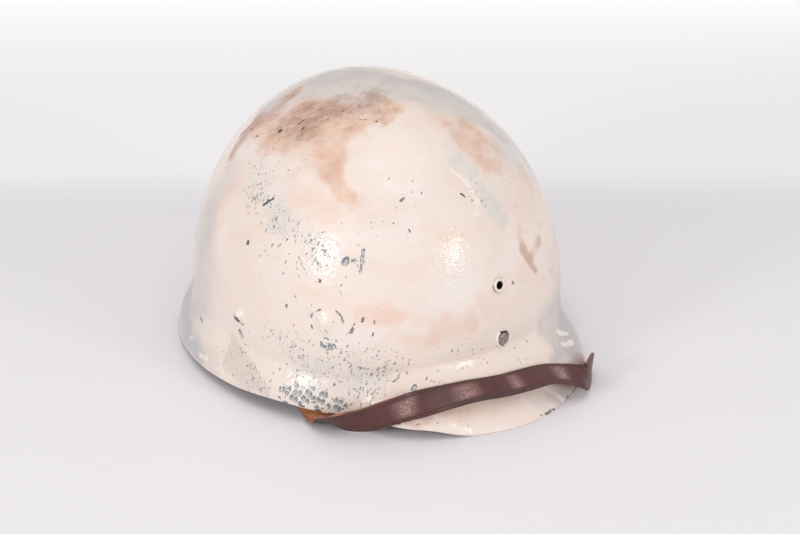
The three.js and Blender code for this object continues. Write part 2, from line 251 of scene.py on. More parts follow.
def cubic_table(xs, ys, slopes):
    """A smooth curve through knots: v2(1 + 2u) y0 + u2(3 - 2u) y1 + span u v (m0 v - m1 u)."""
    def read(x):
        i = np.clip(np.searchsorted(xs, x, side="right") - 1, 0, len(xs) - 2)
        span = xs[i + 1] - xs[i]
        u = np.clip((x - xs[i]) / span, 0, 1)
        v = 1 - u
        ends = ys[i] * v * v * (1 + 2 * u) + ys[i + 1] * u * u * (3 - 2 * u)
        return ends + span * u * v * (slopes[i] * v - slopes[i + 1] * u)
    return read


def quiet_slopes(xs, ys):
    """Slopes that never overshoot: the weighted harmonic mean of both sides, 0 at a turn."""
    gap = np.diff(xs)
    rise = np.diff(ys) / gap
    before, after = rise[:-1], rise[1:]
    weigh_before, weigh_after = 2 * gap[1:] + gap[:-1], gap[1:] + 2 * gap[:-1]
    with np.errstate(divide="ignore", invalid="ignore"):
        mean = (weigh_before + weigh_after) / (weigh_before / before + weigh_after / after)
    return np.concatenate([[0.0], np.where(before * after > 0, mean, 0.0), [0.0]])


def by_bearing(rows, column):
    """Reads a column of a table at any bearing. Left and right are mirror images."""
    xs = np.array([row[0] for row in rows], float)
    ys = np.array([row[column] for row in rows], float)
    read = cubic_table(xs, ys, quiet_slopes(xs, ys))
    return lambda bearing: read(np.abs((np.asarray(bearing, float) + 180) % 360 - 180))


dome_power = by_bearing(DOME_POWERS, 1)
flare_at, rim_at, foot_at, turn_at = (by_bearing(RIM, column) for column in (1, 2, 3, 4))
print("rim height at the sides", round(float(rim_at(90)), 2), "mm")

# %% Points on the outer face
def outward(bearing):
    """The level direction (sin b, -cos b, 0) away from the middle."""
    angle = np.radians(bearing)
    return np.stack([np.sin(angle), -np.cos(angle), np.zeros_like(angle)], axis=-1)


def plan_radius(bearing):
    """Superellipse: (|x/a| to the n plus |y/b| to the n) to the power -1/n."""
    way = outward(bearing)
    half = np.where(way[..., 1] < 0, SHELL["half_front"], SHELL["half_rear"])
    n = SHELL["plan_power"]
    across = (np.abs(way[..., 0]) / SHELL["half_width"]) ** n
    return (across + (np.abs(way[..., 1]) / half) ** n) ** (-1 / n)


def wall_radius(bearing, z):
    """Radius without the flare: R (1 - rise^p)^(1/p) in the dome, R - draft drop^2 below it."""
    p = dome_power(bearing)
    rise = np.clip((z - SHELL["spring"]) / SHELL["dome"], 0, 1)
    drop = np.clip((SHELL["spring"] - z) / SHELL["draft_drop"], 0, None)
    return plan_radius(bearing) * (1 - rise ** p) ** (1 / p) - SHELL["draft"] * drop ** 2


def flared_radius(bearing, z):
    """Wall radius plus the flare, which grows as a power of a sine from foot to rim."""
    foot, rim = foot_at(bearing), rim_at(bearing)
    share = np.clip((foot - z) / (foot - rim), 0, 1)
    turn = turn_at(bearing) * math.pi / 2
    swing = (np.sin(turn * share) / np.sin(turn)) ** SHELL["flare_power"]
    return wall_radius(bearing, z) + flare_at(bearing) * swing


def place_on_shell(bearing, z):
    """The point of the outer face at a bearing and height, moved into the CAD frame."""
    bearing, z = np.broadcast_arrays(np.asarray(bearing, float), np.asarray(z, float))
    point = outward(bearing) * flared_radius(bearing, z)[..., None]
    point[..., 2] = z
    point[..., 1] += SHELL["forward"]
    return point


def profile_point(bearing, along):
    """A point on the profile: along runs 0 to 1 down the dome and 1 to 2 from spring to rim."""
    p = dome_power(bearing)
    angle = np.clip(along, 0, 1) * math.pi / 2
    share = np.clip(along - 1, 0, 1)
    top = SHELL["dome"] * np.clip(np.cos(angle), 0, None) ** (2 / p)
    z_dome = SHELL["spring"] + top
    z_low = SHELL["spring"] + (rim_at(bearing) - SHELL["spring"]) * share
    r_dome = plan_radius(bearing) * np.sin(angle) ** (2 / p)
    low = along > 1
    radius = np.where(low, flared_radius(bearing, z_low), r_dome)
    point = outward(bearing) * radius[..., None]
    point[..., 2] = np.where(low, z_low, z_dome)
    point[..., 1] += SHELL["forward"]
    return point


front = place_on_shell(0, 0)
print("peak reaches", np.round(front, 1), "mm")

# %% [markdown]
# ## The shell's mesh
# The mesh is a grid: columns are bearings, and rows run from the crown down the outer face,
# round the edge of the rim and up the inner face. The columns are closer together on the
# side with the busiest wear, because the wear is stored on the vertices.
# The inner face is the outer one moved in by the wall thickness along its normal. The edge is
# a Bezier arc, since a moulded and trimmed rim is never sharp.

# %% Shell grid
def shell_normals(bearing, along):
    """Outward normals: the cross product of two short steps, one down and one round."""
    step, turn = 0.004, 0.5
    down = profile_point(bearing, np.clip(along + step, 0, 2))
    down = down - profile_point(bearing, np.clip(along - step, step / 2, 2))
    round_ = profile_point(bearing + turn, along) - profile_point(bearing - turn, along)
    normal = np.cross(down, round_)
    return normal / np.linalg.norm(normal, axis=-1, keepdims=True)


def shell_grid():
    """Rows of points from crown to rim outside, round the edge, and back up to the crown."""
    columns = np.concatenate([np.arange(-112.0, 44.0, 0.6), np.arange(44.0, 248.0, 2.5)])
    outer_rows = np.concatenate([np.linspace(0, 1, 122)[1:], np.linspace(1, 2, 34)[1:]])
    inner_rows = np.concatenate([np.linspace(0, 1, 40)[1:], np.linspace(1, 2, 16)[1:]])
    b, outer_t = np.meshgrid(columns, outer_rows)
    outer = profile_point(b, outer_t)
    b, inner_t = np.meshgrid(columns, inner_rows)
    inner = profile_point(b, inner_t) - SHELL["wall"] * shell_normals(b, inner_t)
    inner[-1, :, 2] = rim_at(columns)
    # the two last rows become the ends of the rounded edge
    lip = 1.3
    p0 = outer[-2] + (outer[-1] - outer[-2]) * 0.15
    p3 = inner[-2] + (inner[-1] - inner[-2]) * 0.6
    p1 = p0 + (outer[-1] - p0) * [lip, lip, 4 / 3]
    p2 = p3 + (inner[-1] - p3) * [lip, lip, 4 / 3]
    u = np.linspace(0, 1, 9)[:, None, None]
    v = 1 - u
    edge = v ** 3 * p0 + 3 * u * v ** 2 * p1 + 3 * u ** 2 * v * p2 + u ** 3 * p3
    rows = np.concatenate([outer[:-1], edge, inner[:-1][::-1]])
    return columns, rows, len(outer) + 3


columns, grid, painted_rows = shell_grid()
print("shell grid", grid.shape[:2])

# %% A mesh from a grid
def grid_faces(rows, columns, ring=True):
    """Quads (r, c), (r+1, c), (r+1, c+1), (r, c+1) for a whole grid, closed into a ring."""
    r = np.arange(rows - 1)[:, None]
    c = np.arange(columns if ring else columns - 1)[None, :]
    after = (c + 1) % columns
    quads = [r * columns + c, (r + 1) * columns + c, (r + 1) * columns + after, r * columns + after]
    return np.stack(quads, axis=-1).reshape(-1, 4)


def build_mesh(name, points, faces):
    """Fills a mesh from arrays. Faces is a list of arrays of equal-sided faces."""
    mesh = bpy.data.meshes.new(name)
    loops = np.concatenate([f.ravel() for f in faces]).astype(np.int32)
    sizes = np.concatenate([np.full(len(f), f.shape[1]) for f in faces]).astype(np.int32)
    mesh.vertices.add(len(points))
    mesh.vertices.foreach_set("co", np.asarray(points, np.float32).ravel())
    mesh.loops.add(len(loops))
    mesh.loops.foreach_set("vertex_index", loops)
    mesh.polygons.add(len(sizes))
    starts = np.concatenate([[0], np.cumsum(sizes)[:-1]]).astype(np.int32)
    mesh.polygons.foreach_set("loop_start", starts)
    mesh.polygons.foreach_set("use_smooth", np.ones(len(sizes), bool))
    mesh.update(calc_edges=True)
    mesh.validate()
    return mesh


def add_piece(name, mesh, *materials):
    """Puts a mesh into the scene at the origin, with its materials."""
    piece = bpy.data.objects.new(name, mesh)
    bpy.context.scene.collection.objects.link(piece)
    for material in materials:
        mesh.materials.append(material)
    return piece


def shell_mesh():
    """The grid with a crown point at each end: fans of triangles close both poles."""
    rows, count = grid.shape[:2]
    crown = SHELL["spring"] + SHELL["dome"]
    poles = [[0, SHELL["forward"], crown], [0, SHELL["forward"], crown - SHELL["wall"]]]
    points = np.concatenate([grid.reshape(-1, 3), poles]) * MM
    quads = grid_faces(rows, count)
    c = np.arange(count)
    after = (c + 1) % count
    last = (rows - 1) * count
    top = np.stack([np.full(count, rows * count), c, after], axis=-1)
    inside = np.stack([np.full(count, rows * count + 1), last + after, last + c], axis=-1)
    mesh = build_mesh("shell_body", points, [quads, top, inside])
    cloth = np.zeros(len(mesh.polygons), np.int32)
    cloth[painted_rows * count: len(quads)] = 1
    cloth[len(quads) + count:] = 1
    mesh.polygons.foreach_set("material_index", cloth)
    return mesh


shell_body = shell_mesh()
print("shell", len(shell_body.polygons), "faces")

# %% [markdown]
# ## Holes
# The eyelet, the rivets and the studs go through the wall. A hole in a curved sheet is best
# cut with the Boolean modifier: a short closed tube marks each hole, and the modifier takes it
# away. Its result is kept as the mesh, so that the tubes can be thrown away.

# %% Places of the fittings
DRILL = {"inward": 9, "outward": 4, "sides": 48}
FITTINGS = [
    # piece, bearing, height, drill radius
    ("air_eyelet", 0, 75.0, 3.2), ("front_rivet", 0, 42.0, 2.2),
    ("side_rivet_right", -57, 61.5, 2.2), ("side_rivet_left", 57, 61.5, 2.2),
    ("strap_stud_right", -91, 48.5, 2.2), ("strap_stud_left", 91, 48.5, 2.2),
]


def seat_on_wall(bearing, z):
    """Point, normal and the two directions round and up, from steps of half a unit."""
    def at(b, h):
        point = outward(np.asarray(b, float)) * wall_radius(b, h)[..., None]
        return point + [0, SHELL["forward"], h]
    round_ = at(bearing + 0.5, z) - at(bearing - 0.5, z)
    up = at(bearing, z + 0.5) - at(bearing, z - 0.5)
    normal = np.cross(round_, up)
    normal /= np.linalg.norm(normal)
    round_ /= np.linalg.norm(round_)
    return at(bearing, z), normal, round_, np.cross(normal, round_)


def turned_points(profile, seat, sides):
    """A lathe form: seat + r (cos round + sin up) + h normal, for each (r, h) of the profile."""
    point, normal, round_, up = seat
    r, h = np.asarray(profile, float).T
    angle = np.linspace(0, 2 * math.pi, sides, endpoint=False)
    ring = np.cos(angle)[:, None] * round_ + np.sin(angle)[:, None] * up
    return point + r[:, None, None] * ring[None] + h[:, None, None] * normal


def drill_shell(mesh):
    """Cuts every hole with one joined set of closed tubes, and returns the cut mesh."""
    points, faces, start = [], [], 0
    sides, deep, high = DRILL["sides"], -DRILL["inward"], DRILL["outward"]
    for _, bearing, z, radius in FITTINGS:
        tube = turned_points([(0, deep), (radius, deep), (radius, high), (0, high)],
                             seat_on_wall(bearing, z), sides)
        points.append(tube.reshape(-1, 3) * MM)
        faces.append(grid_faces(4, sides)[:, ::-1] + start)
        start += 4 * sides
    cutter = add_piece("hole_marks", build_mesh("hole_marks", np.concatenate(points), faces))
    weld = cutter.modifiers.new("weld", "WELD")
    weld.merge_threshold = 1e-6
    work = add_piece("shell_uncut", mesh)
    cut = work.modifiers.new("holes", "BOOLEAN")
    cut.operation, cut.solver, cut.object = "DIFFERENCE", "EXACT", cutter
    scene_now = bpy.context.evaluated_depsgraph_get()
    done = bpy.data.meshes.new_from_object(work.evaluated_get(scene_now))
    for spent in (cutter, work):
        bpy.data.objects.remove(spent)
    return done


shell_cut = drill_shell(shell_body)
shell_cut.name = "shell_cut"
print("drilled shell", len(shell_cut.polygons), "faces")

# %% [markdown]
# ## The chart of the paint's wear, and of painted shade
# The old paint has its own history: rubbed and stained patches on the crown, a cooler
# undercoat that shows where the cream is thin, brown water marks, pink streaks, and hundreds
# of small chips. Two layers also hold painted shade: the grey one, along the left outline and
# low on the flares, and a darker one on the flares alone. Painting an image would fix it to one
# resolution. Here each patch is a short stroke on the shell, from one place to another, with a
# width and a softness.
# Python measures how strongly each vertex lies in the strokes of a layer and stores that on
# the mesh. Each layer's outlines are first made to wander, and strokes that meet join softly,
# so that no stroke shows as one. The material later breaks the soft edges up with noise.

# %% Stroke chart
STROKES = {
    # layer: bearing, height, to bearing, to height, half width, end half width, softness, strength
    "salmon": [
        (-131, 124, -134, 142, 7, 8, 6, 0.7), (-134, 142, -139, 157, 8, 6, 7, 0.85),
        (-120, 142, -62, 157, 14, 13, 8, 0.55), (-112, 152, -40, 164, 11, 9, 8, 0.75),
        (-117, 139, -96, 147, 8, 9, 5, 0.6), (-96, 148, -77, 155, 9, 10, 6, 0.6),
        (-84, 150, -66, 146, 9, 9, 5, 0.85), (-74, 148, -64, 139, 10, 8, 3, 0.9),
        (-64, 139, -56, 130, 8, 6, 3, 0.85), (-57, 130, -48, 123, 5, 3, 6, 0.45),
        (-94, 138, -66, 131, 5, 5, 9, 0.4), (-88, 158, -62, 160, 8, 8, 7, 0.5),
        (-126, 132, -112, 134, 7, 8, 7, 0.45), (-104, 141, -76, 142, 6, 6, 4, 0.5),
        (-60, 158, -28, 163, 6, 3, 6, 0.5), (-118, 108, -112, 76, 5, 4, 12, 0.22),
        (4, 158, 17, 150, 7, 8, 12, 0.4), (17, 149, 20, 138, 10, 10, 12, 0.45),
        (20, 139, 32, 126, 7, 7, 12, 0.4), (2, 150, 8, 142, 4, 4, 9, 0.25),
        (36, 120, 42, 84, 4, 5, 9, 0.4), (30, 110, 26, 96, 4, 5, 8, 0.3),
        (95, 150, 120, 158, 10, 12, 8, 0.7), (120, 158, 150, 150, 11, 8, 7, 0.7),
        (60, 148, 80, 140, 8, 6, 7, 0.5), (165, 120, 175, 100, 8, 10, 10, 0.45),
    ],
    "umber": [
        (-130, 123, -133, 138, 4, 5, 6, 0.8), (-133, 140, -140, 157, 6, 5, 6, 0.8),
        (-119, 146, -114, 155, 5, 6, 7, 0.6), (-112, 149, -95, 157, 6, 8, 7, 0.7),
        (-100, 156, -78, 163, 7, 8, 7, 0.7), (-80, 163, -48, 167, 9, 6, 7, 0.9),
        (-100, 146, -84, 150, 5, 5, 6, 0.4), (-58, 166, -34, 162, 5, 3, 6, 0.5),
        (-92, 157, -64, 159, 6, 6, 7, 0.7), (-86, 164, -56, 167, 7, 6, 6, 0.85),
        (-141, 144, -133, 132, 6, 6, 5, 0.9), (-112, 146, -96, 149, 5, 5, 7, 0.4),
        (-74, 146, -66, 142, 4, 4, 6, 0.25), (14, 154, 20, 142, 6, 6, 12, 0.22),
        (105, 154, 140, 156, 5, 6, 8, 0.7), (150, 148, 160, 138, 5, 4, 7, 0.6),
    ],
    # grey: grey paint on the crown, and painted shade along the left outline and low on the flares
    "grey": [
        (-146, 146, -160, 165, 9, 13, 10, 0.85), (-160, 168, 20, 169, 13, 12, 9, 0.8),
        (-126, 150, -112, 162, 10, 12, 9, 0.6), (-110, 163, -60, 169, 12, 12, 9, 0.5),
        (-30, 167, 24, 162, 9, 9, 10, 0.45),
        (30, 168, 42, 156, 13, 13, 9, 1.0), (42, 158, 46, 138, 11, 12, 9, 0.85),
        (50, 130, 60, 100, 8, 10, 12, 0.6), (-142, 70, -136, 10, 12, 12, 16, 0.9),
        (-128, 30, -114, 8, 9, 9, 14, 0.8), (-110, 13, -98, 14, 6, 4, 9, 0.5),
        (-124, 110, -122, 80, 7, 8, 16, 0.55), (-122, 80, -118, 42, 9, 10, 18, 0.65),
        (-108, 60, -108, 30, 4, 6, 16, 0.4), (22, 31, 40, 40, 9, 10, 13, 0.8),
        (16, 12, 30, 20, 9, 10, 7, 1.0), (36, 20, 44, 30, 10, 10, 8, 1.0),
        (19, 3, 10, 6, 5, 4, 4, 1.0), (9, 6, 2, 9, 3, 3, 5, 0.5),
        (75, 30, 110, 20, 6, 9, 9, 0.7), (150, 18, 200, 20, 6, 7, 10, 0.8),
        (170, 140, 185, 160, 10, 12, 12, 0.7), (85, 100, 100, 70, 8, 12, 14, 0.5),
    ],
    # painted shade: a darker grey on the flares where they turn away from the light
    "flare_shade": [
        (-136, 22, -121, 13, 7, 6, 7, 1.0), (-121, 13, -108, 11, 5, 3, 7, 0.8),
        (26, 20, 34, 24, 6, 8, 8, 0.7), (34, 26, 42, 34, 6, 8, 8, 0.7),
        (13, 5, 18, 3, 3, 4, 4, 0.5),
    ],
    "dun": [
        (-94, 31, -91, 23, 2.5, 5.5, 4, 0.75), (-91, 22, -82, 18, 6, 5, 4, 0.85),
        (-92, 19, -84, 14, 5, 4, 6, 0.6), (-83, 17, -76, 14, 4.5, 2, 4, 0.85),
        (190, 30, 205, 20, 5, 7, 6, 0.7),
    ],
    "scales": [
        (-69, 16, -64, 17.5, 4.5, 6.5, 2.5, 1.0), (-64, 17.5, -58, 16.5, 6.5, 5, 2.5, 1.0),
        (-58, 16.5, -52, 14, 5, 3.5, 2.5, 1.0), (-52, 14, -48, 12, 3.5, 2.5, 2, 0.8),
    ],
    "chill": [
        (0, 141, 5, 116, 8, 10, 8, 0.7), (5, 116, 6, 106, 7, 4, 8, 0.5),
        (30, 132, 44, 112, 8, 9, 9, 0.75), (34, 166, 44, 150, 5, 7, 8, 0.6),
        (-66, 27, -44, 25, 9, 10, 7, 0.6), (-66, 40, -40, 38, 6, 7, 9, 0.4),
        (-106, 124, -82, 112, 10, 9, 9, 0.5), (-82, 112, -62, 100, 9, 8, 9, 0.5),
        (-62, 104, -46, 98, 5, 6, 7, 0.5), (-122, 60, -118, 40, 8, 10, 10, 0.5),
        (-64, 66, -57, 61, 3, 4, 4, 0.5), (-100, 60, -98, 54, 4, 4, 6, 0.3),
        (120, 100, 135, 80, 8, 10, 12, 0.5), (66, 30, 50, 22, 8, 8, 8, 0.6),
        (185, 80, 200, 50, 8, 10, 12, 0.5),
    ],
    "blush": [
        (-84, 127, -60, 118, 5, 6, 6, 0.5), (-60, 118, -34, 122, 6, 5, 8, 0.35),
        (-45, 71, -37, 68, 3.5, 5, 7, 0.6), (-37, 68, -29, 65, 5, 3.5, 7, 0.55),
        (-22, 59, -13, 57, 5, 4, 6, 0.75), (-28, 52, -21, 55, 1.5, 2.5, 5, 0.4),
        (-6, 66, 8, 58, 4, 4, 8, 0.5), (-31, 10, -20, 12, 3, 3, 4, 0.7),
        (-20, 12, -4, 12, 3, 3, 4, 0.6),
        (-68, 78, -54, 78, 3, 4, 5, 0.4),
        (-44, 54, -32, 52, 2, 2, 6, 0.4), (-66, 53, -46, 48, 2, 2, 5, 0.3),
        (-26, 113, -14, 108, 4, 5, 7, 0.55), (-40, 98, -28, 92, 4, 4, 9, 0.3),
        (40, 76, 44, 58, 4, 4, 6, 0.7), (26, 78, 34, 66, 3, 3, 8, 0.3),
        (-90, 70, -80, 64, 3, 4, 9, 0.25), (-98, 60, -99, 40, 5, 5, 8, 0.35),
        (-104, 100, -96, 84, 5, 5, 9, 0.3), (-118, 118, -112, 60, 5, 5, 9, 0.45),
        (30, 100, 34, 60, 4, 5, 8, 0.4), (20, 66, 36, 56, 4, 5, 7, 0.4),
        (48, 75, 70, 66, 5, 6, 6, 0.7), (100, 90, 130, 84, 5, 7, 7, 0.5),
    ],
    "brown": [
        (15, 99, 15, 89, 1.4, 2.4, 4, 0.4), (15, 89, 17, 82, 2.6, 2.8, 3, 0.6),
        (17, 81, 18.5, 72, 2.6, 1.3, 2.2, 1.0), (17.5, 79, 18.5, 74, 1.2, 0.8, 1.4, 1.0),
        (30, 92, 25, 87, 1.4, 2.2, 4, 0.4), (25, 87, 19, 82, 2.2, 2.6, 3, 0.5),
        (43, 96, 36, 84, 1.4, 2.4, 5, 0.35),
        (20, 76, 30, 60, 0.4, 0.3, 1.2, 0.6), (-5, 140, 9, 144, 0.4, 0.3, 1.2, 0.7),
        (-33, 9.5, -28, 11.5, 1.5, 2, 3, 0.6), (-28, 11.5, -17, 13.2, 1.5, 1.5, 3, 0.45),
        (140, 60, 143, 40, 2, 3, 4, 0.6),
    ],
    "cover": [
        (-7, 138, -2, 131, 1.0, 1.7, 1.4, 0.9), (-2, 131, -1, 121, 1.7, 1.8, 1.4, 0.9),
        (-1, 121, -5, 112, 1.8, 1.3, 1.4, 0.8), (12, 1, 7, 13, 1.2, 1.6, 1.4, 0.8),
        (24, 22, 28, 20, 1.8, 2.4, 1.2, 1.0), (26, 28, 29, 24, 1.6, 1.4, 1.2, 0.9),
        (16, 36, 17, 41, 1.0, 0.7, 1.2, 0.8), (22, 37, 24, 42, 0.9, 0.7, 1.2, 0.7),
        (17, 19, 18, 22, 0.9, 1.2, 1.2, 0.8), (-108, 11, -104, 13, 1.6, 1.6, 2.5, 0.9),
        (-116, 14, -113, 16, 1.4, 1.0, 2.0, 0.8), (-98, 12, -94, 12, 1.4, 1.6, 2.0, 0.8),
        (-91, 50, -90, 52, 3.0, 2.4, 1.4, 1.0), (-58, 64, -56, 60, 2.4, 3.0, 3.0, 0.6),
    ],
    "pepper": [
        (-114, 132, -98, 112, 8, 10, 8, 0.9), (-98, 114, -78, 108, 9, 7, 7, 0.8),
        (-76, 107, -60, 100, 7, 7, 7, 0.8), (-104, 138, -84, 138, 4, 5, 6, 0.5),
        (-82, 92, -57, 90, 4, 5, 8, 0.5), (-76, 42, -38, 38, 9, 9, 8, 0.85),
        (-64, 28, -40, 25, 9, 9, 6, 0.95), (-93, 28, -78, 13, 8, 6, 6, 0.9),
        (-40, 36, -26, 30, 7, 6, 7, 0.7), (-12, 33, 10, 30, 4, 4, 7, 0.25),
        (60, 100, 80, 60, 8, 8, 12, 0.6), (120, 120, 160, 100, 9, 9, 14, 0.7),
        (-57, 52, -55, 44, 4, 4, 5, 0.7), (130, 40, 170, 30, 6, 6, 9, 0.6),
        (0, 130, 6, 112, 6, 7, 6, 0.5), (60, 30, 84, 18, 5, 5, 8, 0.8),
        (-24, 46, -8, 44, 3, 3, 8, 0.2),
    ],
}
# how far the outlines of a layer wander from its strokes
WANDER = {"salmon": 1.0, "umber": 1.0, "grey": 1.0, "chill": 1.0, "blush": 1.0, "brown": 0.4,
          "cover": 0.3, "pepper": 0.9, "flare_shade": 0.4, "dun": 0.2, "scales": 0.3}


def smooth_share(x):
    """0 below 0, 1 above 1 and x x (3 - 2 x) between."""
    x = np.clip(x, 0, 1)
    return x * x * (3 - 2 * x)


def nearest_on_strokes(points, starts, ends):
    """For each point and stroke: how far along it (0 to 1), and the vector from it."""
    along = ends - starts
    length = np.maximum(np.einsum("sk,sk->s", along, along), 1e-12)
    t = np.clip((points @ along.T - np.einsum("sk,sk->s", starts, along)) / length, 0, 1)
    return t, points[:, None] - starts[None] - t[..., None] * along[None]


def wander(points):
    """A smooth random shift: sine waves along random ways, longer waves pushing farther."""
    rng = np.random.default_rng(11)
    shift = np.zeros_like(points)
    for length in (38.0, 21.0, 12.0, 7.0, 4.0):
        for _ in range(5):
            way, push = rng.normal(size=3), rng.normal(size=3)
            angle = points @ (way / np.linalg.norm(way)) * (2 * math.pi / length)
            shift += np.sin(angle + rng.uniform(0, 7))[:, None] * push * (0.035 * length)
    return shift


def stroke_layer(points, rows):
    """Strength at each point. A stroke is full to 0.6 of its half width and fades out over
    the rest and its softness. Strokes join as 1 - (1 - a)(1 - b), like coats of stain."""
    table = np.array(rows, float)
    starts = place_on_shell(table[:, 0], table[:, 1])
    ends = place_on_shell(table[:, 2], table[:, 3])
    left = np.ones(len(points))
    for part in np.array_split(np.arange(len(points)), max(1, len(points) // 8000)):
        t, away = nearest_on_strokes(points[part], starts, ends)
        reach = table[:, 4] + (table[:, 5] - table[:, 4]) * t
        gap = (np.linalg.norm(away, axis=-1) - 0.6 * reach) / (table[:, 6] + 0.4 * reach)
        left[part] = (1 - smooth_share(1 - gap) * table[:, 7]).prod(axis=1)
    return 1 - left


print(sum(len(rows) for rows in STROKES.values()), "strokes in", len(STROKES), "layers")

# %% [markdown]
# ## Chips
# A chip is a place where the cream has flaked off down to a blue-grey undercoat. Large ones
# are charted one by one. The small ones lie in swarms, which a seeded random generator
# scatters round a few centres, so every run gives the same chips. All of them lean the same
# way, as strokes of one brush do.
# Each vertex stores the way to its nearest chip. Between vertices that arrow stays almost
# exact, so a chip can be smaller than the mesh's faces and still have a clean edge.

# %% Chip chart
CHIPS_AND_SHADE = [
    # bearing, height, to bearing, to height, half width, tone from 0 dark to 1 blue-grey
    (-92, 113, -88.4, 118, 0.7, 0.0), (-91, 114.4, -90.4, 116, 0.95, 0.0),
    (-93, 92, -93, 91, 1.2, 0.15), (-112, 145, -111.4, 145.5, 1.3, 0.0),
    (-104, 151, -103, 153.5, 0.5, 0.05), (-124, 137, -123, 137.6, 0.7, 0.3),
    (-133, 136, -132.6, 137, 0.8, 0.0), (-90, 158, -87, 159.4, 0.35, 0.0),
    (-80, 161, -76, 161.4, 0.3, 0.05), (-66, 164, -62, 164.2, 0.3, 0.05),
    (-58, 160, -52, 160.4, 0.3, 0.1), (-44, 160, -43.4, 160.2, 0.5, 0.1),
    (-98, 150, -97.6, 151, 0.6, 0.1), (-6.5, 127, -5, 125, 0.6, 0.15),
    (-32, 128, -31, 129, 0.9, 0.6), (-52, 96.5, -51.6, 98, 2.1, 1.0), (-46, 104, -46.4, 98, 1.0, 0.9),
    (-46.5, 95, -46.8, 92, 0.8, 0.9), (-30, 114, -29.6, 113, 0.5, 0.2), (-60, 85, -60, 84.5, 0.9, 0.2),
    (-49, 58.5, -48.6, 60.5, 1.1, 0.6), (-45.8, 65, -45.4, 67, 0.8, 0.5), (-42.5, 57, -42.3, 59, 0.6, 0.5),
    (-71, 67, -71, 66, 0.8, 0.4), (-68, 73, -68, 74, 0.5, 0.5), (-42, 64, -42, 65.4, 0.5, 0.5),
    (-62, 64, -61.6, 66, 0.6, 0.6), (-60, 68, -59, 69.5, 0.5, 0.7), (-54, 69.5, -52.6, 68, 0.7, 0.9),
    (-52, 66, -51.6, 63.6, 0.8, 0.8), (-61.8, 59, -61.4, 57, 0.5, 0.7), (-57, 53, -56, 52.4, 0.5, 0.7),
    (-57, 48, -56.6, 45.4, 0.9, 0.9), (-55.6, 49, -55, 46.4, 0.9, 0.9), (-58.4, 50, -58.2, 47.6, 0.7, 0.8),
    (-54.2, 50, -53.8, 48, 0.6, 0.8), (-92.8, 46.1, -91, 46.5, 2.0, 0.06),
    (-89.2, 44.3, -89, 44.5, 0.7, 0.15),
    (-90.6, 38.8, -89.6, 36.2, 1.45, 1.0), (-31, 26.4, -30.4, 27.6, 1.3, 1.0), (-42, 24, -40, 26, 0.3, 0.5),
    (-37, 29, -35, 31, 0.3, 0.4), (-27, 30, -26.6, 31, 0.5, 0.6), (5.4, 1.2, 5.8, 1.6, 0.8, 0.4),
    (-36, 9.2, -35, 9.6, 0.35, 0.0), (-31, 10, -30.2, 10.6, 0.3, 0.0), (-26, 10.2, -25.4, 10.8, 0.35, 0.05),
    (4, 1.2, 5.4, 1.0, 0.8, 0.3), (6.6, 0.9, 7.4, 0.9, 0.6, 0.2), (2, 1.9, 2.8, 1.7, 0.4, 0.3),
    (14, 0.7, 15, 0.7, 0.6, 0.3), (-18, 6, -17.6, 6.3, 0.3, 0.2), (6, 73, 6.4, 72, 0.9, 0.9),
    (-59, 9.5, -57.6, 9, 0.7, 0.1), (-55, 8.4, -53.4, 8.2, 0.6, 0.1), (-64, 10.6, -62.6, 10.4, 0.7, 0.15),
    # on this row, the three dark marks at the right side and foot of the front rivet are painted shade of
    # the gap round its head, not chips
    (1.8, 45.6, 2.6, 42.6, 0.7, 0.0), (2.7, 41.6, 2.4, 39.8, 0.5, 0.0), (-1.8, 38.6, 0.2, 37.4, 0.8, 0.0),
    (-51, 7.6, -49.8, 7.6, 0.6, 0.1), (-69, 10.6, -68, 10.4, 0.6, 0.2), (-116, 27, -113, 26.6, 0.7, 0.9),
]
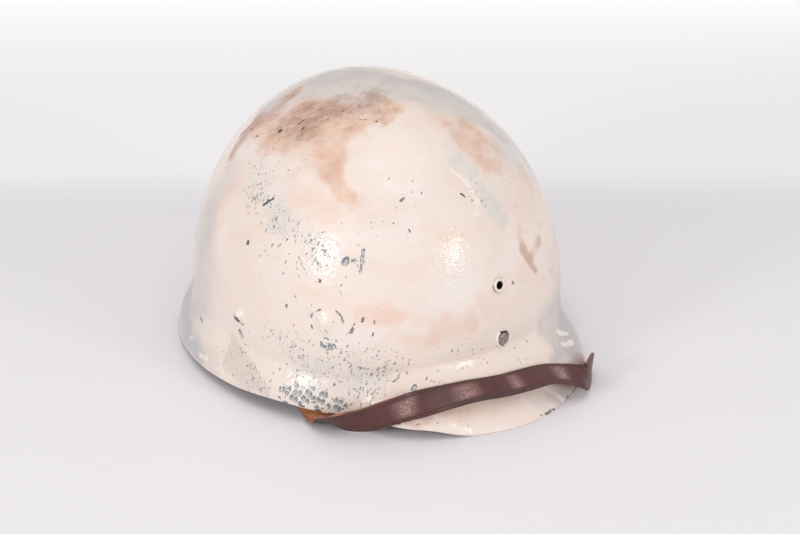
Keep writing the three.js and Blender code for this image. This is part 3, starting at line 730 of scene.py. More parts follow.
SWARMS = [
    # bearing, height, spread round, spread up, count, half length, half width, tone
    (-87, 28, 2, 3, 14, 0.5, 0.42, 0.4), (-82, 22, 2.5, 2.5, 20, 0.5, 0.42, 0.4),
    (-77, 17, 2.5, 2.5, 18, 0.5, 0.42, 0.4),
    (-112, 127, 5, 5, 9, 0.7, 0.42, 0.55), (-101, 122, 7, 7, 22, 0.7, 0.44, 0.5),
    (-98, 113, 5, 5, 18, 0.9, 0.48, 0.5), (-84, 111, 6, 4, 16, 1.0, 0.5, 0.6),
    (-74, 103, 6, 4, 14, 1.1, 0.55, 0.75), (-62, 102, 6, 5, 12, 1.2, 0.7, 0.95),
    (-49, 101, 5, 6, 7, 1.2, 0.55, 0.8), (-36, 124, 9, 6, 9, 0.6, 0.42, 0.4),
    (-30, 129, 5, 3, 5, 0.6, 0.4, 0.5), (-40, 112, 14, 6, 8, 0.6, 0.4, 0.4),
    (-72, 93, 9, 3, 9, 0.7, 0.42, 0.4), (-62, 88, 8, 5, 8, 0.7, 0.44, 0.5),
    (-57, 66, 7, 4, 8, 0.6, 0.42, 0.8), (-56, 48, 5, 2.4, 7, 1.0, 0.5, 0.75),
    (-70, 42, 8, 5, 12, 0.6, 0.42, 0.55), (-58, 38, 12, 6, 26, 0.8, 0.44, 0.65),
    (-44, 36, 10, 6, 24, 0.8, 0.44, 0.65), (-55, 27, 12, 5, 28, 0.9, 0.5, 0.85),
    (-36, 27, 6, 5, 10, 0.8, 0.45, 0.5), (-45, 19, 6, 4, 12, 0.9, 0.5, 0.85),
    (-33, 20, 5, 3, 6, 0.7, 0.42, 0.5), (-68, 31, 6, 5, 9, 0.6, 0.42, 0.6),
    (-86, 22, 8, 7, 18, 0.6, 0.4, 0.5), (-80, 15, 6, 3, 10, 0.6, 0.4, 0.5),
    (2, 31, 9, 4, 6, 0.5, 0.38, 0.4), (-30, 80, 30, 22, 10, 0.5, 0.38, 0.3),
    (-70, 60, 22, 16, 8, 0.5, 0.38, 0.4), (10, 118, 16, 18, 7, 0.5, 0.36, 0.4),
    (70, 105, 10, 10, 18, 0.8, 0.48, 0.6), (76, 70, 12, 9, 14, 0.8, 0.44, 0.6),
    (58, 30, 12, 6, 24, 0.9, 0.5, 0.8), (62, 17, 6, 3, 12, 1.7, 1.1, 1.0),
    (140, 110, 20, 16, 26, 0.8, 0.5, 0.6), (178, 60, 24, 20, 24, 0.8, 0.46, 0.6),
    (150, 24, 18, 7, 24, 0.8, 0.46, 0.7), (-150, 80, 20, 24, 20, 0.7, 0.46, 0.6),
    (-170, 26, 16, 7, 20, 0.8, 0.46, 0.7), (110, 50, 16, 16, 16, 0.7, 0.44, 0.5),
]


def keep_apart(rows, charted):
    """Leaves out every chip that would touch one before it, but none of the charted ones."""
    middle = place_on_shell((rows[:, 0] + rows[:, 2]) / 2, (rows[:, 1] + rows[:, 3]) / 2)
    kept = list(range(charted))
    for i in range(charted, len(rows)):
        gap = np.linalg.norm(middle[kept] - middle[i], axis=1)
        if (gap > 1.5 + 0.95 * (rows[kept, 4] + rows[i, 4])).all():
            kept.append(i)
    return rows[kept]


def scatter_chips(rng):
    """Gaussian swarms round the charted centres. Each chip leans to the right going up."""
    found = [np.array(CHIPS_AND_SHADE, float)]
    for b, z, spread_round, spread_up, count, half_length, half_width, tone in SWARMS:
        heights = np.clip(z + rng.normal(0, spread_up, count), rim_at(b) + 1.5, 165)
        radius = np.maximum(wall_radius(b, heights), 30)
        bearings = b + np.degrees(rng.normal(0, spread_round, count) / radius)
        size = rng.uniform(0.45, 0.95, count)
        lean = np.radians(rng.normal(26, 16, count))
        reach = half_length * size * rng.uniform(0.1, 1.0, count)
        round_step = np.degrees(reach * np.sin(lean) / radius)
        up_step = reach * np.cos(lean)
        tones = np.clip(tone + rng.normal(0, 0.18, count), 0, 1)
        found.append(np.stack([bearings - round_step, heights - up_step, bearings + round_step,
                               heights + up_step, half_width * size, tones], axis=-1))
    return keep_apart(np.concatenate(found), len(CHIPS_AND_SHADE))


chips = scatter_chips(np.random.default_rng(7))
chip_starts = place_on_shell(chips[:, 0], chips[:, 1])
chip_ends = place_on_shell(chips[:, 2], chips[:, 3])


def chip_arrows(points):
    """The nearest chip to each point: the arrow from it, its size and tone, and the gap."""
    arrow, kind = np.zeros((len(points), 3)), np.zeros((len(points), 3))
    for part in np.array_split(np.arange(len(points)), max(1, len(points) // 2000)):
        _, away = nearest_on_strokes(points[part], chip_starts, chip_ends)
        gap = np.linalg.norm(away, axis=-1) - chips[:, 4]
        pick = gap.argmin(axis=1)
        row = np.arange(len(part))
        arrow[part] = away[row, pick]
        kind[part] = np.stack([chips[pick, 4], chips[pick, 5], gap[row, pick]], axis=-1)
    return arrow, kind


print(len(chips), "chips")

# %% Store the wear on a mesh
def store(mesh, name, values):
    """Writes one number or one vector a vertex into a named attribute of the mesh."""
    values = np.asarray(values, np.float32)
    kind, field = ("FLOAT", "value") if values.ndim == 1 else ("FLOAT_VECTOR", "vector")
    slot = mesh.attributes.new(name, kind, "POINT")
    slot.data.foreach_set(field, values.ravel())


def vertex_places(mesh):
    """All vertex coordinates as an array, in millimetres."""
    places = np.empty(len(mesh.vertices) * 3, np.float32)
    mesh.vertices.foreach_get("co", places)
    return places.reshape(-1, 3).astype(float) / MM


def store_wear(mesh, on_wall=False):
    """Measures every layer of the chart, and the chips, at the vertices of a mesh. For a
    piece that stands on the wall they are measured at the wall under each vertex."""
    points = vertex_places(mesh)
    if on_wall:
        round_it = np.degrees(np.arctan2(points[:, 0], -(points[:, 1] - SHELL["forward"])))
        points = place_on_shell(round_it, points[:, 2])
    shift = wander(points)
    for layer, rows in STROKES.items():
        store(mesh, layer, stroke_layer(points + WANDER[layer] * shift, rows))
    arrow, kind = chip_arrows(points)
    store(mesh, "chip_arrow", arrow)
    store(mesh, "chip_kind", kind)
    bearing = np.degrees(np.arctan2(points[:, 0], -(points[:, 1] - SHELL["forward"])))
    store(mesh, "above_rim", points[:, 2] - rim_at(bearing))


store_wear(shell_cut)
print("layers stored:", ", ".join(STROKES))

# %% [markdown]
# ## The old paint
# The finish is built in the order in which it came about. First comes a warm cream with slow
# changes of tone. Then each layer of the chart tints it, with its soft edge broken up by
# noise, so that it looks rubbed and not airbrushed. Then come fine specks and the chips.
# A chip is dark at its edge, where the paint's thickness throws a shadow, and blue-grey in
# its middle. By the rim the cream has come off in scales, made from the round cells of a flat
# pattern. The same masks drive the bump, so that light catches every flake.

# %% Paint material
def slanted(f, spot, lean, squeeze):
    """Coordinates along slanted axes. The one along the lean is squeezed, so that noise read
    there is drawn out into strokes. Lean is in degrees from upright, to the right going up."""
    out = direction(-58, 0)
    side = Vector((0, 0, 1)).cross(out)
    angle = math.radians(lean)
    along = Vector((0, 0, 1)) * math.cos(angle) + side * math.sin(angle)
    across = along.cross(out)
    parts = [f.add("VectorMath", 1, {"operation": "DOT_PRODUCT"}, i0=spot, i1=tuple(axis))
             for axis in (out, along * squeeze, across)]
    return f.add("CombineXYZ", 0, None, X=parts[0], Y=parts[1], Z=parts[2])


def rubbed_mask(f, layer, cloud, bite, low=0.0, high=0.8):
    """A layer's strength, bitten into by noise, then pushed through an S curve. Where the
    layer is weak, only the peaks of the noise are left of it."""
    hole = f.maths("MULTIPLY", f.maths("SUBTRACT", 1.0, cloud), bite)
    return f.step(f.maths("SUBTRACT", f.attribute(layer), hole), low, high)


def old_paint(name):
    """Cream paint with its rubs, stains, specks and chips, with painted shade on the flares and painted
    shadow at the edges of chips and scales.
    """
    f = Finish(name)
    spot = f.add("TexCoord", 3)
    slow = f.noise(spot, 11.0, 3.0, 0.5)
    lumps = f.noise(spot, 42.0, 5.0, 0.62)
    fine = f.noise(spot, 230.0, 5.0, 0.65)
    grit = f.noise(spot, 900.0, 3.0, 0.6)
    level = slanted(f, spot, 78, 0.22)
    brushed = f.noise(level, 70.0, 5.0, 0.65)
    hairs = f.noise(level, 300.0, 4.0, 0.6)
    scraped = f.noise(slanted(f, spot, 52, 0.3), 95.0, 6.0, 0.68)
    # noise stays close to one half, so it is stretched to the full range 0 to 1
    wide_slow, wide_lumps, wide_fine, wide_brushed, wide_scraped = (
        f.step(n, 0.36, 0.64) for n in (slow, lumps, fine, brushed, scraped))

    cream = f.mix(wide_slow, chart(231, 216, 205), chart(238, 222, 210))
    cream = f.mix(f.maths("MULTIPLY", wide_lumps, 0.45), cream, chart(230, 220, 213))
    cream = f.mix(f.maths("MULTIPLY", wide_brushed, 0.4), cream, chart(238, 219, 205))
    cream = f.mix(f.maths("MULTIPLY", f.step(hairs, 0.52, 0.7), 0.25), cream, chart(228, 212, 203))

    patchy = f.step(f.noise(slanted(f, spot, 80, 0.45), 26.0, 5.0, 0.62), 0.47, 0.66)
    cream = f.mix(f.maths("MULTIPLY", patchy, 0.4), cream, chart(230, 205, 190))
    cool = f.step(f.noise(f.vector("ADD", level, (3.0, 1.0, 2.0)), 40.0, 5.0, 0.6), 0.5, 0.68)
    cream = f.mix(f.maths("MULTIPLY", cool, 0.45), cream, chart(236, 230, 225))

    blush = rubbed_mask(f, "blush", wide_brushed, 0.3, -0.05, 0.95)
    cream = f.mix(f.maths("MULTIPLY", blush, 0.7), cream, chart(230, 194, 175))
    # grey paint on the crown, and painted shade along the left outline and low on the flares
    grey = rubbed_mask(f, "grey", wide_lumps, 0.2, -0.05, 0.85)
    grey_paint_and_shade = f.mix(wide_lumps, chart(193, 187, 184), chart(214, 205, 199))
    cream = f.mix(f.maths("MULTIPLY", grey, 0.85), cream, grey_paint_and_shade)
    crumbs = f.step(f.noise(spot, 95.0, 6.0, 0.66), 0.38, 0.62)
    salmon = rubbed_mask(f, "salmon", f.mix(0.5, crumbs, wide_lumps), 0.6, -0.15, 0.9)
    stain = f.mix(wide_scraped, chart(228, 188, 163), chart(213, 171, 148))
    cream = f.mix(f.maths("MULTIPLY", salmon, 0.92), cream, stain)
    umber = rubbed_mask(f, "umber", f.mix(0.5, wide_scraped, crumbs), 0.6, -0.05, 1.0)
    dark = f.mix(wide_fine, chart(188, 148, 129), chart(150, 113, 98))
    cream = f.mix(f.maths("MULTIPLY", umber, 0.72), cream, dark)
    thread = f.noise(slanted(f, spot, 62, 0.1), 210.0, 2.0, 0.5)
    thread = f.step(f.maths("ABSOLUTE", f.maths("SUBTRACT", thread, 0.5)), 0.014, 0.004)
    thread = f.maths("MULTIPLY", thread, f.step(f.attribute("umber"), 0.15, 0.7))
    cream = f.mix(f.maths("MULTIPLY", thread, 0.35), cream, chart(122, 92, 82))
    # painted shade: a darker grey on the flares where they turn away from the light
    flare_shade = rubbed_mask(f, "flare_shade", wide_lumps, 0.2, -0.05, 0.9)
    cream = f.mix(f.maths("MULTIPLY", flare_shade, 0.8), cream, chart(178, 178, 180))
    dun = rubbed_mask(f, "dun", wide_fine, 0.25, 0.0, 0.7)
    cream = f.mix(f.maths("MULTIPLY", dun, 0.6), cream, chart(204, 190, 181))
    chill = rubbed_mask(f, "chill", wide_fine, 0.4, 0.0, 0.85)
    cream = f.mix(f.maths("MULTIPLY", chill, 0.6), cream, chart(203, 204, 202))
    brown = rubbed_mask(f, "brown", wide_brushed, 0.35, 0.0, 0.8)
    rusty = f.mix(wide_lumps, chart(184, 134, 104), chart(202, 160, 134))
    cream = f.mix(f.maths("MULTIPLY", brown, 0.72), cream, rusty)
    cover = rubbed_mask(f, "cover", wide_fine, 0.5, 0.15, 0.75)
    cream = f.mix(f.maths("MULTIPLY", cover, 0.85), cream, chart(242, 230, 221))

    # fine specks: a random few of the cells of a slanted pattern hold a dark dot each
    slant = slanted(f, spot, 27, 0.55)
    cloud = f.add("TexNoise", 1, None, Vector=spot, Scale=700.0)
    wobble = f.vector("MULTIPLY", cloud, (0.0016,) * 3)
    speck = None
    for cells_per_metre, share in ((420.0, 0.85), (760.0, 0.95)):
        cells = f.nodes.new("ShaderNodeTexVoronoi")
        f.put(cells.inputs["Vector"], f.vector("ADD", slant, wobble))
        cells.inputs["Scale"].default_value = cells_per_metre
        luck = f.add("SeparateColor", 0, None, Color=cells.outputs["Color"])
        size = f.add("SeparateColor", 1, None, Color=cells.outputs["Color"])
        wanted = f.maths("MULTIPLY", f.maths("MULTIPLY", f.attribute("pepper"), wide_lumps), share)
        chosen = f.step(f.maths("SUBTRACT", wanted, luck), 0.0, 0.02)
        edge = f.maths("ADD", 0.13, f.maths("MULTIPLY", size, 0.18))
        dot = f.step(f.maths("SUBTRACT", cells.outputs["Distance"], edge), 0.06, -0.04)
        dot = f.maths("MULTIPLY", dot, chosen)
        speck = dot if speck is None else f.maths("MAXIMUM", speck, dot)
    speck_colour = f.mix(wide_fine, chart(98, 90, 88), chart(146, 148, 149))
    cream = f.mix(f.maths("MULTIPLY", speck, 0.75), cream, speck_colour)

    # chips: inside where the shaken arrow is shorter than the chip is wide
    f.add("SeparateXYZ", 0, None, Vector=f.attribute("chip_kind", 1))
    split = f.nodes[-1].outputs
    width, tone, gap = split[0], split[1], split[2]
    shake = f.add("TexNoise", 1, None, Vector=spot, Scale=650.0, Detail=3.0, Roughness=0.6)
    shake = f.vector("MULTIPLY", f.vector("SUBTRACT", shake, (0.5, 0.5, 0.5)), (1.6, 1.6, 1.6))
    arrow = f.vector("ADD", f.attribute("chip_arrow", 1), shake)
    reach = f.add("VectorMath", 1, {"operation": "LENGTH"}, i0=arrow)
    inside = f.maths("DIVIDE", reach, width)
    near = f.step(gap, 1.1, 0.7)
    chip = f.maths("MULTIPLY", f.maths("MULTIPLY", f.step(inside, 1.08, 0.88), near), 0.9)
    # the heart sits low in the chip, which leaves a dark crescent over it
    drop = f.add("CombineXYZ", 0, None, Z=f.maths("MULTIPLY", width, 0.42))
    low = f.add("VectorMath", 1, {"operation": "LENGTH"}, i0=f.vector("ADD", arrow, drop))
    heart = f.step(f.maths("DIVIDE", low, width), 0.72, 0.42)
    heart = f.maths("MULTIPLY", heart, f.step(width, 0.55, 0.85))
    heart = f.maths("MULTIPLY", heart, f.step(tone, 0.5, 0.9))
    edge_colour = f.mix(f.step(tone, 0.0, 0.5), chart(40, 32, 34), chart(94, 106, 114))
    heart_colour = f.mix(wide_fine, chart(172, 183, 187), chart(214, 214, 211))
    paint = f.mix(chip, cream, f.mix(heart, edge_colour, heart_colour))

    # scales: round cells of a slanted flat pattern lie bare, with threads of cream between. Each
    # bare cell is pale low down; the dark crescent across its top is painted shadow of the paint's edge.
    f.add("SeparateXYZ", 0, None, Vector=slanted(f, spot, 22, 0.74))
    tall = f.add("CombineXYZ", 0, None, X=f.nodes[-1].outputs[1], Y=f.nodes[-1].outputs[2])
    tall = f.vector("ADD", tall, f.vector("MULTIPLY", shake, (0.0009,) * 3))
    cells = f.nodes.new("ShaderNodeTexVoronoi")
    seams = f.nodes.new("ShaderNodeTexVoronoi")
    seams.feature = "DISTANCE_TO_EDGE"
    for pattern in (cells, seams):
        pattern.voronoi_dimensions = "2D"
        f.put(pattern.inputs["Vector"], tall)
        pattern.inputs["Scale"].default_value = 330.0
        pattern.inputs["Randomness"].default_value = 0.8
    luck = f.add("SeparateColor", 0, None, Color=cells.outputs["Color"])
    chosen = f.step(f.maths("SUBTRACT", f.attribute("scales"), luck), 0.0, 0.05)
    ragged = f.maths("MULTIPLY", f.maths("SUBTRACT", fine, 0.5), 0.5)
    ragged = f.maths("ADD", cells.outputs["Distance"], ragged)
    clear_of_seams = f.step(seams.outputs["Distance"], 0.03, 0.09)
    scale = f.maths("MULTIPLY", f.step(ragged, 0.52, 0.44), clear_of_seams)
    scale = f.maths("MULTIPLY", scale, chosen)
    fall = f.vector("SUBTRACT", tall, cells.outputs["Position"])
    low = f.add("VectorMath", 1, {"operation": "LENGTH"}, i0=f.vector("ADD", fall, (0.0007, 0.0, 0.0)))
    pale = f.step(low, 0.0009, 0.0004)
    # dark blue-grey is the painted shadow, pale blue-grey the undercoat
    undercoat_and_shadow = f.mix(pale, chart(104, 119, 126), chart(176, 184, 186))
    paint = f.mix(f.maths("MULTIPLY", scale, 0.88), paint, undercoat_and_shadow)
    chip = f.maths("MAXIMUM", chip, scale)

    rough = f.maths("ADD", 0.40, f.maths("MULTIPLY", fine, 0.14))
    rough = f.maths("ADD", rough, f.maths("MULTIPLY", f.maths("MAXIMUM", umber, chip), 0.22))
    rough = f.maths("ADD", rough, f.maths("MULTIPLY", grey, 0.12))

    lift = f.maths("MULTIPLY", lumps, 0.16)
    lift = f.maths("ADD", lift, f.maths("MULTIPLY", f.noise(spot, 150.0, 2.0, 0.5), 0.42))
    lift = f.maths("ADD", lift, f.maths("MULTIPLY", fine, 0.20))
    lift = f.maths("ADD", lift, f.maths("MULTIPLY", hairs, 0.06))
    lift = f.maths("ADD", lift, f.maths("MULTIPLY", f.noise(spot, 430.0, 2.0, 0.5), 0.30))
    lift = f.maths("ADD", lift, f.maths("MULTIPLY", grit, 0.012))
    lift = f.maths("SUBTRACT", lift, f.maths("MULTIPLY", chip, 0.14))
    lift = f.maths("SUBTRACT", lift, f.maths("MULTIPLY", speck, 0.05))
    normal = f.add("Bump", 0, None, Strength=0.6, Distance=MM, Height=lift)
    f.set(Base_Color=paint, Roughness=rough, Normal=normal, Specular_IOR_Level=0.5,
          Coat_Weight=0.5, Coat_Roughness=0.09, Coat_Normal=normal)
    return f.material


paint = old_paint("old_cream_paint")
print("paint nodes", len(paint.node_tree.nodes))

# %% [markdown]
# ## The inner face
# Inside, the shell is bare moulded cloth, a dark olive-brown duck soaked in resin. Two waves
# of bands at right angles give the weave. The cream paint laps a few millimetres over the
# rim, with an uneven edge.

# %% Inner cloth material
def moulded_cloth(name):
    f = Finish(name)
    spot = f.add("TexCoord", 3)
    clouds = f.noise(spot, 30.0, 5.0, 0.6)
    warp = f.add("TexWave", 1, {"bands_direction": "X"}, Vector=spot, Scale=210.0, Distortion=1.2)
    weft = f.add("TexWave", 1, {"bands_direction": "Z"}, Vector=spot, Scale=210.0, Distortion=1.2)
    weave = f.maths("MULTIPLY", warp, weft)
    cloth = f.mix(clouds, chart(70, 62, 47), chart(96, 84, 63))
    cloth = f.mix(f.maths("MULTIPLY", weave, 0.35), cloth, chart(120, 106, 82))
    lap = f.maths("ADD", f.attribute("above_rim"), f.maths("MULTIPLY", clouds, -5.0))
    lapped = f.step(lap, 1.6, 0.9)
    f.set(
        Base_Color=f.mix(lapped, cloth, chart(226, 214, 205)),
        Roughness=f.maths("ADD", 0.45, f.maths("MULTIPLY", clouds, 0.2)),
        Normal=f.add("Bump", 0, None, Strength=0.5, Distance=0.0004, Height=weave),
    )
    return f.material


cloth = moulded_cloth("moulded_cloth")
shell_cut.materials.clear()
shell = add_piece("helmet_shell", shell_cut, paint, cloth)
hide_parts("shell")
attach(shell, "root")
print("shell piece", len(shell.data.polygons), "faces")

# %% [markdown]
# ## Rivets, studs and the eyelet
# These are turned parts: a short outline spun round the direction that faces straight out of
# the wall. Years of brushed paint have filled the step at the foot of each head, so the
# outline runs out in a thin skirt that meets the wall.
# The heads carry the same paint and the same chart of wear as the shell, so that a stroke
# runs on across them.

# %% Turned pieces
WALL_BACK = -(SHELL["wall"] + 0.6)      # just behind the inner face
SHANK = 1.9                             # radius of a rivet or stud where it goes through
ROUND = 72                              # faces round a turned piece


def dome_outline(head, seat, rise, skirt):
    """Skirt, short edge, then a quarter ellipse: r = head cos a, h = seat + rise sin a."""
    a = np.linspace(0, math.pi / 2, 14)
    dome = np.stack([head * np.cos(a), seat + 0.25 + rise * np.sin(a)], axis=-1)
    dome[-1, 0] = 0.0
    rim = [[SHANK, -0.4], [head + skirt + 0.9, -0.3], [head + skirt + 0.8, -0.1],
           [head + skirt, 0.04], [head + skirt * 0.45, seat * 0.45], [head + skirt * 0.1, seat]]
    return np.concatenate([rim, dome])


def swell_outline(reach, rise):
    """A head lost under paint: h = rise (1 + cos(pi r / reach)) / 2, which meets the wall flat."""
    r = np.linspace(reach, 0, 22)
    swell = np.stack([r, 0.02 + rise * (0.5 + 0.5 * np.cos(math.pi * r / reach))], axis=-1)
    return np.concatenate([[[SHANK, -0.4], [reach + 2, -0.3], [reach + 1.8, -0.08]], swell])


def hug_wall(points, seat):
    """Lowers each point along the seat's normal by as much as the curved wall drops there."""
    point, normal, _, _ = seat
    height = (points - point) @ normal
    flat = points - height[..., None] * normal
    bearing = np.degrees(np.arctan2(flat[..., 0], -(flat[..., 1] - SHELL["forward"])))
    drop = (place_on_shell(bearing, flat[..., 2]) - flat) @ normal
    return points + np.where(height > -1, drop, 0.0)[..., None] * normal


def turned_mesh(name, outline, seat, sides=ROUND, wobble=None):
    """Spins an outline. Rows at radius 0 become one point. wobble(angle) scales the radius."""
    point, normal, round_, up = seat
    ring = hug_wall(turned_points(outline, seat, sides), seat)
    if wobble is not None:
        angle = np.linspace(0, 2 * math.pi, sides, endpoint=False)
        middle = point + outline[:, 1][:, None, None] * normal
        ring = middle + (ring - middle) * (1 + wobble(angle))[None, :, None]
    faces = grid_faces(len(outline), sides)[:, ::-1]
    mesh = build_mesh(name, ring.reshape(-1, 3) * MM, [faces])
    kit = bmesh.new()
    kit.from_mesh(mesh)
    bmesh.ops.remove_doubles(kit, verts=kit.verts, dist=1e-6)
    bmesh.ops.recalc_face_normals(kit, faces=kit.faces)
    kit.to_mesh(mesh)
    kit.free()
    return mesh


# radius and height, from the middle of the back out to the shank
RIVET_BACK = [
    [0, WALL_BACK - 0.8], [3.4, WALL_BACK - 0.8], [4.0, WALL_BACK - 0.5],
    [4.0, WALL_BACK], [SHANK, WALL_BACK],
]
STUD_BACK = [
    [0, -10.1], [3.0, -10.1], [3.45, -9.85], [3.6, -9.5], [3.6, -8.85], [3.45, -8.7],
    [SHANK, -8.7], [SHANK, WALL_BACK - 0.6], [3.6, WALL_BACK - 0.6],
    [3.6, WALL_BACK], [SHANK, WALL_BACK],
]
RIVET_SWELL = (8.6, 1.35)       # reach and rise of a head under its paint
STUD_SWELL = (6.0, 2.3)
HEADS = {
    # piece: outline outside, back
    "side_rivet_right": (swell_outline(*RIVET_SWELL), RIVET_BACK),
    "side_rivet_left": (swell_outline(*RIVET_SWELL), RIVET_BACK),
    "strap_stud_right": (swell_outline(*STUD_SWELL), STUD_BACK),
    "strap_stud_left": (swell_outline(*STUD_SWELL), STUD_BACK),
}
seats = {name: seat_on_wall(bearing, z) for name, bearing, z, _ in FITTINGS}
for name, (outside, back_rows) in HEADS.items():
    outline = np.concatenate([back_rows, outside])
    mesh = turned_mesh(name, outline, seats[name])
    store_wear(mesh, on_wall=True)
    piece = add_piece("painted_" + name, mesh, paint)
    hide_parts(name)
    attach(piece, "root")
    print(piece.name, len(mesh.polygons), "faces")

# %% [markdown]
# ## The bare rivet in front
# On the front rivet the paint has broken away and the dull metal shows. What is left of the
# paint is a ragged ring, so the material needs to know how far each point is from the middle.
# The head is also a little out of round, since it was set with a hammer.

# %% Bare metal
def bare_metal(name):
    f = Finish(name)
    spot = f.add("TexCoord", 3)
    mottle = f.noise(spot, 420.0, 5.0, 0.65)
    scuff = f.noise(f.add("Mapping", 0, None, Vector=spot, Scale=(1, 1, 0.2)), 1400.0, 3.0, 0.6)
    metal = f.mix(f.step(mottle, 0.38, 0.64), chart(128, 116, 109), chart(178, 168, 160))
    metal = f.mix(f.maths("MULTIPLY", f.step(scuff, 0.55, 0.75), 0.5), metal, chart(196, 190, 184))
    ragged = f.maths("MULTIPLY", f.maths("SUBTRACT", mottle, 0.5), 0.5)
    reach = f.maths("ADD", f.attribute("reach"), ragged)
    # a dark ring round the edge of the head is painted shade of the gap round it
    gap_shade_ring = f.maths("MULTIPLY", f.step(reach, 0.72, 0.92), 0.9)
    metal = f.mix(gap_shade_ring, metal, chart(44, 37, 36))
    side = f.attribute("left_over")
    painted = f.step(f.maths("ADD", reach, f.maths("MULTIPLY", side, 0.42)), 1.02, 1.08)
    f.set(
        Base_Color=f.mix(painted, metal, chart(238, 227, 219)),
        Metallic=f.maths("MULTIPLY", f.maths("SUBTRACT", 1.0, painted), 0.4),
        Roughness=f.maths("ADD", 0.38, f.maths("MULTIPLY", mottle, 0.25)),
        Normal=f.add("Bump", 0, None, Strength=0.6, Distance=0.0005,
                     Height=f.maths("ADD", f.maths("MULTIPLY", mottle, 0.5), painted)),
    )
    return f.material


BARE_HEAD = {"radius": 4.5, "seat": 0.4, "rise": 1.2, "skirt": 0.3}
FULL_REACH = 4.7        # the distance from the rivet's middle that counts as 1
front_outline = np.concatenate([RIVET_BACK, dome_outline(*BARE_HEAD.values())])
front_mesh = turned_mesh("front_rivet", front_outline, seats["front_rivet"],
                         wobble=lambda a: 0.05 * np.sin(3 * a + 1.0) + 0.03 * np.sin(7 * a))
offset = vertex_places(front_mesh) - seats["front_rivet"][0]
round_part, up_part = offset @ seats["front_rivet"][2], offset @ seats["front_rivet"][3]
store(front_mesh, "reach", np.hypot(round_part, up_part) / FULL_REACH)
store(front_mesh, "left_over", (-0.75 * round_part - 0.35 * up_part) / FULL_REACH)
bare = bare_metal("bare_rivet_metal")
front_rivet = add_piece("bare_front_rivet", front_mesh, bare)
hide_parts("front_rivet")
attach(front_rivet, "root")
print("front rivet", len(front_mesh.polygons), "faces")

# %% [markdown]
# ## The air eyelet
# An eyelet is a tube whose ends are rolled over the sheet. Its outline is a closed loop, so
# spinning it gives a ring with a real hole. The outer roll is painted with the shell, and the
# bore is bare, dull and dark.

# %% Eyelet
def eyelet_outline():
    """A closed loop: up the barrel's back flange, out through the wall, over a half-round roll."""
    a = np.linspace(0, math.pi, 15)
    middle, half, rise = 3.35, 1.05, 1.12
    roll = np.stack([middle + half * np.cos(a), 0.28 + rise * np.sin(a)], axis=-1)
    back_roll = [
        [2.3, WALL_BACK - 0.5], [2.6, WALL_BACK - 0.78], [3.2, WALL_BACK - 0.8],
        [3.8, WALL_BACK - 0.7], [4.0, WALL_BACK - 0.35], [4.0, WALL_BACK],
        [2.9, WALL_BACK], [2.9, 0.24], [4.3, 0.12],
    ]
    return np.concatenate([back_roll, roll])


def ring_mesh(name, outline, seat, sides=ROUND):
    """Spins a closed outline: the grid closes both ways, round the ring and round the outline."""
    ring = turned_points(np.vstack([outline, outline[:1]]), seat, sides)
    faces = grid_faces(len(outline) + 1, sides)[:, ::-1]
    faces[faces >= len(outline) * sides] -= len(outline) * sides
    return build_mesh(name, ring[:-1].reshape(-1, 3) * MM, [faces])


def eyelet_metal(name):
    f = Finish(name)
    spot = f.add("TexCoord", 3)
    mottle = f.noise(spot, 700.0, 4.0, 0.6)
    f.set(Base_Color=f.mix(mottle, chart(40, 34, 32), chart(92, 82, 74)), Metallic=0.6,
          Roughness=f.maths("ADD", 0.4, f.maths("MULTIPLY", mottle, 0.3)),
          Normal=f.add("Bump", 0, None, Strength=0.4, Distance=0.0003, Height=mottle))
    return f.material


eyelet_mesh = ring_mesh("air_eyelet", eyelet_outline(), seats["air_eyelet"])
store_wear(eyelet_mesh, on_wall=True)
eyelet = add_piece("rolled_air_eyelet", eyelet_mesh, paint, eyelet_metal("dull_bore"))
# one row for each step of the outline and one column for each face round: 1 is bare metal
bare_faces = np.ones((len(eyelet_outline()), ROUND), np.int32)
bare_faces[8:21] = 0
# a thin line of faces along the lower foot of the roll and along its far side takes the dark bore metal
bare_faces[8:11, 34:56] = 1
bare_faces[10:12, 54:] = 1
bare_faces[10:12, :16] = 1
eyelet_mesh.polygons.foreach_set("material_index", bare_faces.ravel())
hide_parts("air_eyelet")
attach(eyelet, "root")
print("eyelet", len(eyelet_mesh.polygons), "faces")

# %% [markdown]
# ## The chin strap
# The strap is a band of thick leather, 16 mm wide. It hangs from a stud inside each side,
# passes under the rim, and is worn up over the peak. Its line in space is a smooth curve
# through a table of places, and at each place the table says how far the band leans from
# upright. Round that line goes a section with a crowned grain side and softened edges.
# The UV map holds millimetres along the strap and round its section. With it, creases can run
# across the band and the two tooled lines can run beside its edges.

# %% Strap line
STRAP = {
    "width": 16.0, "thick": 2.2, "tip": 7.9, "blunt": 0.4, "steps": 620,
    "soft_edge": 0.9, "face_inset": 0.12, "crown": 0.16,
}
STRAP_PLACES = [
    # x, y, z, lean in degrees
    (-99.1, 8, 56, 180), (-100.3, -4, 41.5, 180), (-99.5, -15, 30, 179), (-97, -27, 21, 172),
    (-95.5, -39, 14.5, 162), (-95.5, -51, 8.9, 142), (-96, -63.5, 5, 92), (-98, -74, 7.8, 43),
    (-86.5, -89, 11.5, 8), (-73.5, -104, 20, -8), (-57.5, -111.5, 22.7, -48),
    (-35, -120, 24.6, -67), (-14, -125.5, 23.3, -68), (1.5, -126.5, 21.8, -67),
    (18.5, -128.8, 20.7, -71), (33.5, -131.5, 16, -62), (41, -133.2, 12.9, -48),
    (46.5, -132.2, 10.6, -14), (57, -125, 11, 4.5), (59.8, -120.6, 6.6, 38),
    (59.6, -113.8, 2, 86), (62.7, -101.5, 3.3, 81), (72, -86, 6, 126), (79.5, -73, 8, 140),
    (87, -55, 14, 160), (93, -38, 22, 172), (97.5, -22, 30, 177), (99.9, -4, 41.5, 180),
    (98.9, 8, 56, 180),
]


